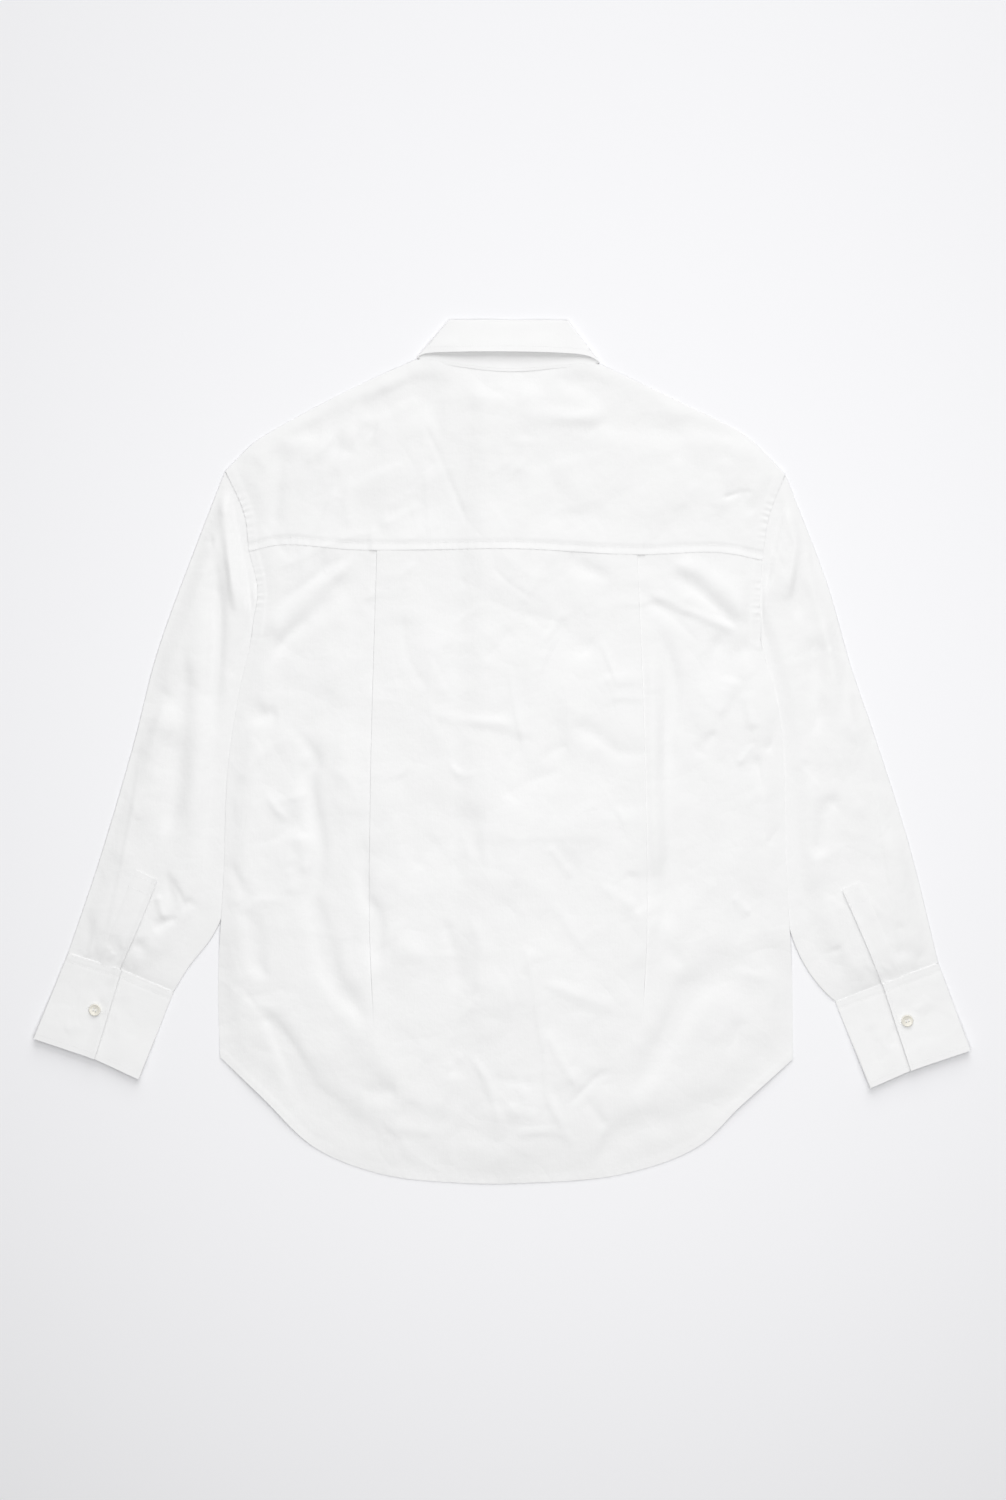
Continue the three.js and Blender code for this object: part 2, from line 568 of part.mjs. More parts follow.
/** The yoke's grid: over the back, round the shoulder's fold, and down to the front yoke seam. */
function yokeGrid() {
  const columns = yokeTop.length;
  const onShoulder = (column) => column <= LEFT_NECK || column >= RIGHT_NECK;
  const normals = yokeTop.map((_, column) => shoulderNormal(column));
  const foldLine = yokeTop.map((point, column) => (
    onShoulder(column) ? point.clone().addScaledVector(normals[column], -TURN_INSET) : point
  ));
  const tipStep = TURN_INSET / armhole.left[0].distanceTo(armhole.left[1]);
  const rows = [];
  for (let row = 0; row <= YOKE_ROWS; row += 1) {
    const up = row / YOKE_ROWS;
    const armStep = lerp(ARM_UPPER, tipStep, up);
    const edge = (side) => {
      const whole = Math.min(Math.floor(armStep), ARM_UPPER - 1);
      return armhole[side][whole].clone().lerp(armhole[side][whole + 1], armStep - whole);
    };
    const [left, right] = [edge('left'), edge('right')];
    rows.push(foldLine.map((top, column) => {
      const share = (top.x - foldLine[0].x) / (foldLine[columns - 1].x - foldLine[0].x);
      const x = lerp(left.x, right.x, share);
      const seamY = heightAt(yokeSeam, lerp(yokeSeam[0].x, yokeSeam.at(-1).x, share));
      const seamChord = lerp(yokeSeam[0].y, yokeSeam.at(-1).y, share);
      const topChord = lerp(foldLine[0].y, foldLine[columns - 1].y, share);
      const chord = lerp(left.y, right.y, share);
      const y = chord + (1 - up) * (seamY - seamChord) + up * (top.y - topChord);
      const cover = Math.max(...[-PLEAT_DEPTH, 0, PLEAT_DEPTH].map((reach) => pleatRise(x + reach, y)));
      const lap = (LAYER + LAP_ROOM + cover) * (1 - smoothstep(y - seamY, YOKE_LAP, 6 * YOKE_LAP));
      return new THREE.Vector3(x, y, upperZ(x, y) + lap);
    }));
  }
  const lastRow = rows.at(-1);
  const lowerRow = foldLine.map(({ x, y }) => new THREE.Vector3(x, y, lowerZ(x, y)));
  [...TURN_ANGLES].reverse().forEach((angle) => {
    rows.push(lastRow.map((upper, column) => {
      const lower = lowerRow[column];
      const radius = (upper.z - lower.z) / 2;
      const point = upper.clone().addScaledVector(normals[column], TURN * Math.cos(angle));
      return point.setZ((upper.z + lower.z) / 2 + radius * Math.sin(angle));
    }));
  });
  rows.push(lowerRow);
  for (let step = 1; step <= WING_END; step += 1) {
    rows.push(foldLine.map((fold, column) => wingPoint(fold, column, step)));
  }
  const topFaces = YOKE_ROWS;
  return { grid: rows, keep: (row, column) => row < topFaces || column < LEFT_NECK || column >= RIGHT_NECK };
}

/** Ends of the front yoke seam: at the armhole and at the neck. */
const frontSeam = {};
for (const side of SIDES) {
  const neckRow = COLLAR[side][5];
  frontSeam[side] = [armhole[side][WING_END], new THREE.Vector3(neckRow.neckX, neckRow.neckY, 0)];
}

/** A point of the yoke on the front side of the shoulder's fold. */
function wingPoint(fold, column, step) {
  const side = column <= LEFT_NECK ? 'left' : 'right';
  const steps = side === 'left' ? column : yokeTop.length - 1 - column;
  const share = Math.min(steps / SHOULDER_STEPS, 1);
  const seam = frontSeam[side][0].clone().lerp(frontSeam[side][1], share);
  const point = fold.clone().lerp(seam, step / WING_END);
  if (share === 0) point.copy(armhole[side][step]);
  return point.setZ(lowerZ(point.x, point.y));
}
const yoke = yokeGrid();
addCloth('yoke', yoke.grid, { keep: yoke.keep });

// ---------------------------------------------------------------- fronts and front band
/** The front's top line from the armhole to its edge at the front band. */
function frontTop(side) {
  const neckline = COLLAR[side].slice(0, 6).reverse().map(({ neckX, neckY }) => ({ x: neckX, y: neckY }));
  return [frontSeam[side][0], ...neckline].map(flat);
}

/** Columns of a front at one row, from the side seam to the front edge. */
function frontColumns(side, edgeX) {
  const inward = -outward(side);
  const fixed = COLLAR[side].slice(0, 6).map(({ neckX }) => neckX).reverse();
  const near = SIDE_OFFSETS.slice(0, 4).map((offset) => edgeX + inward * offset);
  return [...near, lerp(near.at(-1), fixed[0], 0.5), ...fixed];
}

for (const side of SIDES) {
  const top = frontTop(side);
  const ordered = side === 'left' ? top : [...top].reverse();
  const frontEdge = side === 'left' ? COLLAR.left[0].neckX : COLLAR.right[1].neckX;
  const last = bodyEdge.left.length - 1;
  const cornerShare = EDGE_GAP / bodyEdge[side][WING_END].distanceTo(bodyEdge[side][WING_END + 1]);
  const grid = [];
  for (let step = WING_END; step <= last; step += 1) {
    const edge = bodyEdge[side][step];
    const other = bodyEdge[side === 'left' ? 'right' : 'left'][step];
    const [leftEdge, rightEdge] = side === 'left' ? [edge, other] : [other, edge];
    const topShare = Math.max(1 - (step - WING_END) / 7, 0);
    const hemShare = FRONT_HEM_SHARE * Math.max((step - UNDERARM) / SIDE_STEPS, 0) ** 2;
    const rowY = bodyRow(leftEdge, rightEdge, yokeSeam, 0, hemShare);
    const columns = side === 'left'
      ? frontColumns(side, edge.x)
      : frontColumns(side, edge.x).filter((x) => x >= frontEdge);
    grid.push(columns.map((x, column) => {
      const topX = column === 0 ? top[0].x : x;
      const rise = topShare * (heightAt(ordered, topX) - rowAtTop(topX));
      const y = rowY(x) + rise - (column === 0 && step > WING_END ? 0 : SEAM_GAP * topShare);
      const over = side === 'left' ? underlap(x) : 0;
      const point = new THREE.Vector3(x, column === 0 ? edge.y : y, 0);
      if (column === 0 && step === WING_END) point.lerp(bodyEdge[side][step + 1], cornerShare);
      return point.setZ(lowerZ(point.x, point.y) + over);
    }));
  }
  addCloth(`front_${side}`, grid);
}

/** Height of the straight row through the front yoke seam's armhole end. */
function rowAtTop(x) {
  const [left, right] = [armhole.left[WING_END], armhole.right[WING_END]];
  return lerp(left.y, right.y, (x - left.x) / (right.x - left.x));
}

const bandTop = COLLAR.right[0].neckY - SEAM_GAP;
const bandFoot = lerp(SIDE.left.at(-1).y, SIDE.right.at(-1).y, 0.5) + FRONT_HEM_SHARE * bow(hemLine, 0.5);
const bandGrid = [];
for (let step = 0; step <= SIDE_STEPS; step += 1) {
  const y = lerp(bandTop, bandFoot, step / SIDE_STEPS);
  bandGrid.push([-BAND_HALF, BAND_HALF].map((offset) => (
    new THREE.Vector3(CENTRE_X + offset, y, HALF_WALL + BAND_LIFT)
  )));
}
addCloth('front_band', bandGrid);

// ---------------------------------------------------------------- sleeves
const sleeveSurfaces = {};

/** The rings crowd together at the underarm. */
const innerShare = (down) => down ** 1.35;

/** Direction square to a line at a share of its length, towards -X or +X. */
function edgeNormal(line, share, towards) {
  const along = alongLine(line, share + 0.02).sub(alongLine(line, share - 0.02)).normalize();
  return new THREE.Vector3(-along.y, along.x, 0).multiplyScalar(towards * Math.sign(-along.y));
}

const FOLD_SETTLES = 3;               // rows after which a fold is square to its edge

/** Middle points of one sleeve: rings from the armhole to the cuff seam. */
function sleeveGrid(side) {
  const steps = UNDERARM;
  const away = outward(side);
  const first = armhole[side].map((point, index, list) => {
    const along = list[Math.min(index + 1, steps)].clone().sub(list[Math.max(index - 1, 0)]).normalize();
    const normal = new THREE.Vector3(along.y, -along.x, 0).multiplyScalar(-away);
    return point.clone().addScaledVector(normal, EDGE_GAP);
  });
  const [outerFold, slit, innerFold] = CUFF[side].seam.map(flat);
  const up = outerFold.clone().sub(flat(CUFF[side].free[0])).normalize();
  const last = [];
  for (let step = 0; step <= steps; step += 1) {
    const half = steps / 2;
    const point = step <= half
      ? outerFold.clone().lerp(slit, step / half)
      : slit.clone().lerp(innerFold, (step - half) / half);
    last.push(point.addScaledVector(up, EDGE_GAP));
  }
  const outer = alongCurve(SLEEVE_OUTER[side], 80);
  const inner = sleeveInner[side];
  const bowOff = (line, share) => {
    const chord = line[0].clone().lerp(line.at(-1), share);
    return line[Math.round(share * steps)].clone().sub(chord);
  };
  const grid = [];
  for (let row = 0; row <= SLEEVE_ROWS; row += 1) {
    const down = row / SLEEVE_ROWS;
    const start = row === 0 ? first[0] : row === SLEEVE_ROWS ? last[0] : alongLine(outer, down);
    const end = row === 0 ? first[steps] : row === SLEEVE_ROWS ? last[steps] : alongLine(inner, innerShare(down));
    const width = end.distanceTo(start);
    const chord = end.clone().sub(start).normalize();
    const settled = row === SLEEVE_ROWS ? 0 : Math.min(row / FOLD_SETTLES, 1);
    const foldOut = {
      0: chord.clone().negate().lerp(edgeNormal(outer, down, away), settled).normalize(),
      1: row === SLEEVE_ROWS ? chord : edgeNormal(inner, innerShare(down), -away),
    };
    const place = (share) => {
      const point = start.clone().lerp(end, share);
      point.addScaledVector(bowOff(first, share), (1 - down) ** 4);
      point.addScaledVector(bowOff(last, share), down ** 2);
      return foldOut[share] ? point.addScaledVector(foldOut[share], -SLEEVE_INSET) : point;
    };
    const topZ = ({ x, y }, share) => {
      const edges = smoothstep(width * share, 0, 22) * (1 - smoothstep(width * share, width - 45, width - 20));
      const puff = Math.max(SLEEVE_PUFF + foldHeight(SLEEVE_FOLDS[side], x, y), LEAST_PUFF);
      return HALF_WALL + SLEEVE_LAYER + edges * puff;
    };
    const ring = [];
    for (let step = 0; step <= steps; step += 1) {
      ring.push(place(step / steps).setZ(HALF_WALL));
    }
    const fold = (share, angles) => angles.forEach((angle) => {
      const point = place(share);
      const rise = topZ(point, share) - HALF_WALL;
      point.addScaledVector(foldOut[share], SLEEVE_TURN * Math.cos(angle));
      ring.push(point.setZ(HALF_WALL + rise * (0.5 + Math.sin(angle) / 2)));
    });
    fold(1, TURN_ANGLES);
    for (let step = steps; step >= 0; step -= 1) {
      const point = place(step / steps);
      ring.push(point.setZ(topZ(point, step / steps)));
    }
    fold(0, [...TURN_ANGLES].reverse());
    grid.push(ring);
  }
  return grid;
}
for (const side of SIDES) {
  sleeveSurfaces[side] = addCloth(`sleeve_${side}`, sleeveGrid(side), { ring: true });
}

// ---------------------------------------------------------------- sleeve plackets
const caster = new THREE.Raycaster();
const DOWN = new THREE.Vector3(0, 0, -1);
const SKY = 100;
const FEEL = 5;                       // a piece that lies on a panel clears it this far around

/** Highest point of a sleeve close to a place. */
function sleeveTop(side, x, y) {
  let top = 0;
  for (const [dx, dy] of [[0, 0], [FEEL, 0], [-FEEL, 0], [0, FEEL], [0, -FEEL]]) {
    caster.set(new THREE.Vector3(x + dx, y + dy, SKY), DOWN);
    const [hit] = caster.intersectObject(sleeveSurfaces[side]);
    if (hit) top = Math.max(top, hit.point.z);
  }
  return top;
}
const PLACKET_ROWS = 8;
const PLACKET_COLUMNS = 3;
for (const side of SIDES) {
  const freeEdge = alongCurve(PLACKET[side].freeEdge, PLACKET_ROWS);
  const innerEdge = alongCurve(PLACKET[side].innerEdge, PLACKET_ROWS);
  const grid = freeEdge.map((free, row) => {
    const points = [];
    for (let column = 0; column <= PLACKET_COLUMNS; column += 1) {
      const point = free.clone().lerp(innerEdge[row], column / PLACKET_COLUMNS);
      points.push(point.setZ(sleeveTop(side, point.x, point.y) + SEAM_GAP + HALF_WALL));
    }
    return points;
  });
  addCloth(`placket_${side}`, grid);
}

// ---------------------------------------------------------------- cuffs
const CUFF_ROWS = 3;
const CUFF_STEPS = 3;

/** One cuff: under end, inner part, round below, and the outer part on top with its free end. */
function cuffGrid(side) {
  const grid = [];
  for (let row = 0; row <= CUFF_ROWS; row += 1) {
    const down = row / CUFF_ROWS;
    const [outer, slit, inner] = [0, 1, 2].map((index) => (
      flat(CUFF[side].seam[index]).lerp(flat(CUFF[side].free[index]), down)
    ));
    const toOuter = outer.clone().sub(slit).normalize();
    const toInner = inner.clone().sub(slit).normalize();
    const underZ = HALF_WALL + LAYER;
    const overZ = underZ + LAYER;
    const puff = Math.sin(Math.PI * down) * 0.8;
    const path = [];
    const add = (point, z) => path.push(point.clone().setZ(z));
    add(slit.clone().addScaledVector(toOuter, CUFF_LAP), underZ);
    add(slit, underZ);
    const innerEnd = inner.clone().addScaledVector(toInner, -TURN_INSET);
    const outerInset = LAYER + HALF_WALL;
    const outerEnd = outer.clone().addScaledVector(toOuter, -outerInset);
    for (let step = 1; step < CUFF_STEPS; step += 1) {
      add(slit.clone().lerp(innerEnd, step / CUFF_STEPS), underZ + puff);
    }
    add(innerEnd, underZ);
    [...TURN_ANGLES].reverse().forEach((angle) => {
      const turn = innerEnd.clone().addScaledVector(toInner, TURN * Math.cos(angle));
      add(turn, HALF_WALL + TURN * (1 + Math.sin(angle)));
    });
    for (let step = 0; step <= CUFF_STEPS; step += 1) {
      add(innerEnd.clone().lerp(slit, step / CUFF_STEPS), HALF_WALL);
    }
    for (let step = 1; step <= CUFF_STEPS; step += 1) {
      add(slit.clone().lerp(outerEnd, step / CUFF_STEPS), HALF_WALL);
    }
    TURN_ANGLES.forEach((angle) => {
      const turn = outerEnd.clone().addScaledVector(toOuter, LAYER * Math.cos(angle));
      add(turn, HALF_WALL + LAYER * (1 + Math.sin(angle)));
    });
    for (let step = 0; step <= CUFF_STEPS; step += 1) {
      add(outerEnd.clone().lerp(slit, step / CUFF_STEPS), overZ);
    }
    grid.push(path);
  }
  return grid;
}
for (const side of SIDES) addCloth(`cuff_${side}`, cuffGrid(side));

// ---------------------------------------------------------------- collar stand and collar
/** Stations round the neck: left front end, left fold, back, right fold, right front end. */
function collarStations(firstRow) {
  const stations = [];
  const front = (side) => COLLAR[side].slice(firstRow).map((row) => ({ ...row, side, level: 'front' }));
  const turn = (side, angles) => angles.map((angle) => ({ ...COLLAR[side].at(-1), side, level: 'turn', angle }));
  stations.push(...front('left'), ...turn('left', TURN_ANGLES));
  for (let step = 0; step <= NECK_STEPS; step += 1) {
    const share = step / NECK_STEPS;
    const [leftEnd, rightEnd] = [COLLAR.left.at(-1), COLLAR.right.at(-1)];
    const x = lerp(leftEnd.neckX, rightEnd.neckX, share);
    stations.push({
      turnX: lerp(leftEnd.turnX, rightEnd.turnX, share),
      turnY: lerp(leftEnd.turnY, rightEnd.turnY, share),
      neckX: neckLine[step].x,
      neckY: neckLine[step].y,
      leafX: x,
      leafY: heightAt(COLLAR_EDGE, x),
      level: 'back',
      share,
    });
  }
  stations.push(...turn('right', [...TURN_ANGLES].reverse()), ...front('right').reverse());
  return stations;
}

/** Outward direction of the fold at the side of the neck. */
function neckFoldNormal(side) {
  const { turnX, turnY, neckX, neckY } = COLLAR[side].at(-1);
  const along = new THREE.Vector3(turnX - neckX, turnY - neckY, 0).normalize();
  return new THREE.Vector3(-along.y, along.x, 0).multiplyScalar(-outward(side));
}

/** Height of a collar layer at a place: lower in front, upper at the back, between on the turn. */
function neckZ({ level, side, angle, endLift = 0 }, x, y, frontZ, backZ) {
  if (level === 'front') return frontZ(x, y) + endLift;
  if (level === 'back') return backZ(x, y);
  return lerp(frontZ(x, y), backZ(x, y), 0.5 + Math.sin(angle) / 2);
}

const standFrontZ = (x, y) => lowerZ(x, y);
const standBackZ = (x, y) => lowerZ(x, y) + underlap(x) + LAYER;
const standGrid = collarStations(0).map((station) => {
  const neck = new THREE.Vector3(station.neckX, station.neckY, 0);
  const turnOver = new THREE.Vector3(station.turnX, station.turnY, 0);
  const rise = turnOver.clone().sub(neck).normalize();
  neck.addScaledVector(rise, EDGE_GAP);
  const points = [];
  for (let step = 0; step <= 2; step += 1) {
    const point = neck.clone().lerp(turnOver, step / 2);
    const endLift = station.side === 'left' ? underlap(point.x) : 0;
    const z = neckZ({ ...station, endLift }, point.x, point.y, standFrontZ, standBackZ);
    if (station.level === 'turn') {
      point.addScaledVector(neckFoldNormal(station.side), TURN * Math.cos(station.angle));
    }
    points.push(point.setZ(z));
  }
  return points;
});
addCloth('collar_stand', standGrid);

/** Middle of the collar's upper side at the back; it springs off the stand towards its edge. */
const fallStart = standBackZ(COLLAR.left.at(-1).turnX, COLLAR.left.at(-1).turnY) + LAYER;
const FALL_STEPS = 4;
const fallGrid = collarStations(1).map((station) => {
  const edge = new THREE.Vector3(station.leafX, station.leafY, 0);
  const turnOver = new THREE.Vector3(station.turnX, station.turnY, 0);
  const neck = new THREE.Vector3(station.neckX, station.neckY, 0);
  const rise = turnOver.clone().sub(neck).normalize();
  const start = turnOver.clone().addScaledVector(rise, COLLAR_GAP);
  const spring = station.level === 'back' ? COLLAR_STAND_OFF * Math.sin(Math.PI * station.share) ** 0.6 : 0;
  const standZ = (x, y) => neckZ(station, x, y, standFrontZ, standBackZ);
  const beside = standZ(turnOver.x, turnOver.y);
  const over = Math.max(fallStart, standBackZ(turnOver.x, turnOver.y) + LAYER);
  const outerZ = (share) => neckZ(station, 0, 0, () => HALF_WALL, () => over + spring * share);
  const half = station.level === 'turn' ? (over - HALF_WALL) / 2 : 0;
  const normal = station.level === 'turn' ? neckFoldNormal(station.side) : new THREE.Vector3();
  const bulge = half * Math.cos(station.angle ?? 0);
  const innerBulge = station.level === 'turn' ? TURN * Math.cos(station.angle) : 0;
  const points = [start.clone().addScaledVector(normal, innerBulge).setZ(beside)];
  const roll = start.clone().addScaledVector(rise, COLLAR_ROLL);
  points.push(roll.addScaledVector(normal, (bulge + innerBulge) / 2).setZ((beside + outerZ(0)) / 2));
  for (let step = 0; step <= FALL_STEPS; step += 1) {
    const share = step / FALL_STEPS;
    points.push(start.clone().lerp(edge, share).addScaledVector(normal, bulge).setZ(outerZ(share)));
  }
  return points;
});
addCloth('collar_fall', fallGrid);

// ---------------------------------------------------------------- buttons
/** Four-hole button with eased edges, its lower face at z = 0. */
function buttonGeometry() {
  const ring = (radius, sides, x = 0, y = 0) => {
    const points = [];
    for (let index = 0; index < sides; index += 1) {
      const angle = ((index + 0.5) / sides) * 2 * Math.PI;
      points.push(new THREE.Vector2(x + radius * Math.cos(angle), y + radius * Math.sin(angle)));
    }
    return points;
  };
  const shape = new THREE.Shape(ring(BUTTON_RADIUS, 18));
  for (const x of [-HOLE_OFFSET, HOLE_OFFSET]) {
    for (const y of [-HOLE_OFFSET, HOLE_OFFSET]) {
      shape.holes.push(new THREE.Path(ring(HOLE_RADIUS, 4, x, y).reverse()));
    }
  }
  const depth = BUTTON_THICKNESS - 2 * BUTTON_BEVEL;
  const geometry = new THREE.ExtrudeGeometry(shape, {
    depth, bevelEnabled: true, bevelThickness: BUTTON_BEVEL, bevelSize: BUTTON_BEVEL / 2,
    bevelOffset: -BUTTON_BEVEL / 2, bevelSegments: 1, steps: 1,
  });
  return geometry.translate(0, 0, BUTTON_BEVEL);
}

/** Adds a button with its lower face at a height. */
function addButton(name, x, y, z) {
  const mesh = addPiece(name, buttonGeometry(), BUTTON, 0.35);
  mesh.position.set(x, y, z);
}
for (let index = 0; index < BUTTON_ROWS.count; index += 1) {
  const y = index === 0 ? BUTTON_ROWS.first : BUTTON_ROWS.second - (index - 1) * BUTTON_ROWS.pitch;
  addButton(`front_button_${index + 1}`, CENTRE_X, y, 0);
}
const cuffTop = WALL + 2 * LAYER;
for (const side of SIDES) {
  addButton(`cuff_button_${side}`, CUFF_BUTTON[side].x, CUFF_BUTTON[side].y, cuffTop + SEAM_GAP);
}

export default shirt;
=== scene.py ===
"""Looks of a white poplin shirt that lies flat on its front, with its back, yoke and collar up.

Every length is in millimetres until a mesh is made. The row's frame is kept: +Z is up, +Y runs
from the hem to the collar, and the surface that the shirt lies on is z = 0.
"""
import logging
import math
from dataclasses import dataclass, field
from enum import Enum
from typing import Callable, Sequence

import bpy
import numpy as np
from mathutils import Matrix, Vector
from mathutils.bvhtree import BVHTree


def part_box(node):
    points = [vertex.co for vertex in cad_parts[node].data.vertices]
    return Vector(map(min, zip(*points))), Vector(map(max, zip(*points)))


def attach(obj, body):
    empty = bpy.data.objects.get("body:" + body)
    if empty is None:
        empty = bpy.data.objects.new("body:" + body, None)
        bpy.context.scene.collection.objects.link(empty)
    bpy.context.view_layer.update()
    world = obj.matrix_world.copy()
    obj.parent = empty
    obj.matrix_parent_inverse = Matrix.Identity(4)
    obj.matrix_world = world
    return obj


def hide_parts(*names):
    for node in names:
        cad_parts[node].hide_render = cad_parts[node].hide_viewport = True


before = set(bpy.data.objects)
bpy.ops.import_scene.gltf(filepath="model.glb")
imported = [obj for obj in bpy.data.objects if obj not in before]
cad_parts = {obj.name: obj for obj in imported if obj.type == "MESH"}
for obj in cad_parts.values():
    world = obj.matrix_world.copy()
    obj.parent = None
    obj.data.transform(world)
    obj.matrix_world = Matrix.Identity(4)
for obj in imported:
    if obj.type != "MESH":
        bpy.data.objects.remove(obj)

log = logging.getLogger("shirt")
logging.basicConfig(level=logging.INFO, format="%(name)s %(message)s")

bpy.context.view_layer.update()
MM = 0.001
SIDES = ("left", "right")
OUT = {"left": -1.0, "right": 1.0}

Values = float | np.ndarray
Material = bpy.types.Material
Piece = bpy.types.Object


# ------------------------------------------------------------------ sizes and tables
@dataclass(frozen=True)
class Sizes:
    """Sizes that several pieces share, in millimetres."""

    cloth: float = 0.32            # wall of a single layer of poplin
    doubled: float = 0.75          # wall of an interlined piece
    layer: float = 1.5             # from the middle of one layer to the next
    lowest: float = 0.3            # middle of a layer that lies on the surface
    body_puff: float = 2.2         # how high the back stands over the fronts
    yoke_step: float = 0.42        # the yoke's edge lies this far above the back
    pleat_depth: float = 24.0      # from a pleat's fold to its hidden inner fold
    pleat_layer: float = 0.42      # from one layer of a pressed pleat to the next
    sleeve_layer: float = 1.5      # from a sleeve's lower layer to its upper one
    sleeve_puff: float = 3.2       # how high a sleeve's top stands over that
    turn_inset: float = 1.3        # the yoke's flat part ends this far inside the shoulder
    centre: float = 5.0            # x of the front band's middle
    band: float = 32.0             # width of the front band
    band_lift: float = 2.6         # how high the band stands on its buttons
    collar_layer: float = 0.9      # from the middle of one collar layer to the next
    button: float = 5.7            # radius
    button_thick: float = 2.3      # height
    hem: float = 6.0               # width of the narrow hem
    stitch: float = 2.4            # from one stitch to the next
    thread: float = 0.34           # thickness


S = Sizes()

# Rows of points that each edge passes through.
SHOULDER = {
    "left": [(-265.3, 269.1), (-237.9, 296.2), (-194.1, 322.2), (-144.2, 348.2), (-80.6, 376.9)],
    "right": [(271.5, 265.9), (255.8, 282.6), (232.9, 303.5), (176.7, 332.5), (92.4, 372.2)],
}
ARM_UPPER = {
    "left": [(-265.3, 269.1), (-247.2, 228.5), (-242.4, 192)],
    "right": [(271.5, 265.9), (255.8, 224.3), (249.6, 183.6)],
}
ARM_LOWER = {
    "left": [(-242.4, 192), (-234.1, 155.5), (-238, 112.4)],
    "right": [(249.6, 183.6), (247.2, 145), (246.5, 105.8)],
}
SIDE_SEAM = {
    "left": [(-238, 112.4), (-249, 70.6), (-262.4, -13.2), (-266.8, -119), (-272.3, -220.9),
             (-270.3, -293.3)],
    "right": [(246.5, 105.8), (263, 52.9), (269.6, 0), (272, -97), (278.6, -225.8), (279, -295.3)],
}
HEM = [(-270.3, -293.3), (-229.2, -332.6), (-180.2, -379.6), (-117.5, -405.1), (-45, -413.8),
       (17.3, -414.3), (114.1, -405.9), (187, -379.9), (228.7, -340.3), (279, -295.3)]
YOKE_SEAM = [(-242.4, 192), (-211.9, 198.2), (-137.9, 193.4), (17.3, 194.1), (128.8, 188.8),
             (207.9, 190.9), (249.6, 183.6)]
NECK = [(-80.6, 376.9), (-53.5, 372), (5.5, 366.1), (54.8, 369), (92.4, 372.2)]
PLEAT = {
    "left": [(-119.6, 198), (-125.8, -31), (-126, -200), (-112, -410)],
    "right": [(129.2, 198), (136.4, 2), (138, -200), (122, -410)],
}
SLEEVE_OUTER = {
    "left": [(-266, 268), (-292, 201.5), (-331.3, 93.7), (-353.3, 8), (-386.4, -104.2),
             (-416.6, -193.4)],
    "right": [(272.2, 265), (311.7, 162.3), (335, 81.5), (355.9, 20.3), (389.5, -85),
              (418.9, -202.8)],
}
SLEEVE_INNER = {
    "left": [(-238.4, 112), (-268.8, -159.8), (-301.9, -209.2), (-314.9, -230.9)],
    "right": [(246.9, 105.4), (277.2, -175.7), (305.1, -226.7), (319.4, -240.2)],
}
# A cuff's corners at its seam and at its free edge: outer fold, slit, inner fold.
CUFF_SEAM = {
    "left": [(-416.6, -193.4), (-364.8, -209.3), (-314.9, -230.9)],
    "right": [(418.9, -202.8), (365, -223), (319.4, -240.2)],
}
CUFF_FREE = {
    "left": [(-449.2, -275), (-390.2, -294.8), (-348.1, -314.4)],
    "right": [(449.2, -286.4), (391.6, -305.8), (352.8, -322.9)],
}
PLACKET_FREE = {
    "left": [(-366.6, -209.5), (-347.5, -166.6), (-330.2, -123.4)],
    "right": [(364.6, -223.5), (349.6, -186.8), (325.8, -132.8)],
}
PLACKET_INNER = {
    "left": [(-389.4, -202.5), (-372, -155), (-354.5, -111.6)],
    "right": [(387.6, -214.5), (371, -177), (347, -123)],
}
# Stations round the collar, from its front end to the fold at the side of the neck: where it
# turns over, where it meets the neck, and the edge of the leaf.
COLLAR = {
    "left": [(18, 336, 18, 303, 18, 336), (-8, 337, -14, 303, -76, 288),
             (-17, 341, -26, 306, -77.5, 303), (-27, 348, -37, 312, -78.5, 319),
             (-34, 357, -49, 320, -79.5, 335), (-44, 378, -79, 342, -80, 350),
             (-48, 395, -79.8, 359.5, -80.3, 364), (-50.4, 411.8, -80.6, 376.9, -80.6, 376.9)],
    "right": [(-11, 336, -11, 303, -11, 336), (18, 337, 21.3, 303, 88, 286),
              (27, 341, 36, 306, 89.3, 301), (37, 348, 47, 312, 90.3, 317),
              (45, 357, 59, 320, 91.3, 333), (56, 378, 91, 339, 92, 348),
              (60, 395, 91.7, 355.6, 92.2, 361), (63, 411.2, 92.4, 372.2, 92.4, 372.2)],
}
COLLAR_EDGE = [(-80.6, 378.6), (-75, 381), (-65, 382.2), (-53.5, 382.5), (7.1, 383), (66, 381.2),
               (79, 379.8), (87, 377.3), (92.4, 373.8)]
FRONT_BUTTON_COUNT = 7
FRONT_EDGE = {"left": 18.0, "right": 21.3}     # x of each front's edge
FRONT_HEM_SHARE = 0.83     # the front hem hangs less deep than the back hem
FRONT_HEM_Y = -294.3       # y of the hem's corners
BAND_TOP = 302.7           # y of the front band's top
CUFF_BUTTON = {"left": (-390.2, -247.7), "right": (388.3, -258.1)}


class Form(Enum):
    """Cross-section of a crease."""

    SOFT = "soft"        # a round trough or ridge
    SHARP = "sharp"      # a narrow crest or nick with straight sides
    STEP = "step"        # the cloth steps up on the route's left side and runs out again


@dataclass(frozen=True)
class Crease:
    """One crease. height > 0 is a ridge, height < 0 a trough, half is its half width."""

    form: Form
    half: float
    height: float
    route: tuple[tuple[float, float], ...]


def soft(half: float, height: float, *route: tuple[float, float]) -> Crease:
    """Returns a soft crease along a route."""
    return Crease(Form.SOFT, half, height, route)


def sharp(half: float, height: float, *route: tuple[float, float]) -> Crease:
    """Returns a sharp crease along a route."""
    return Crease(Form.SHARP, half, height, route)


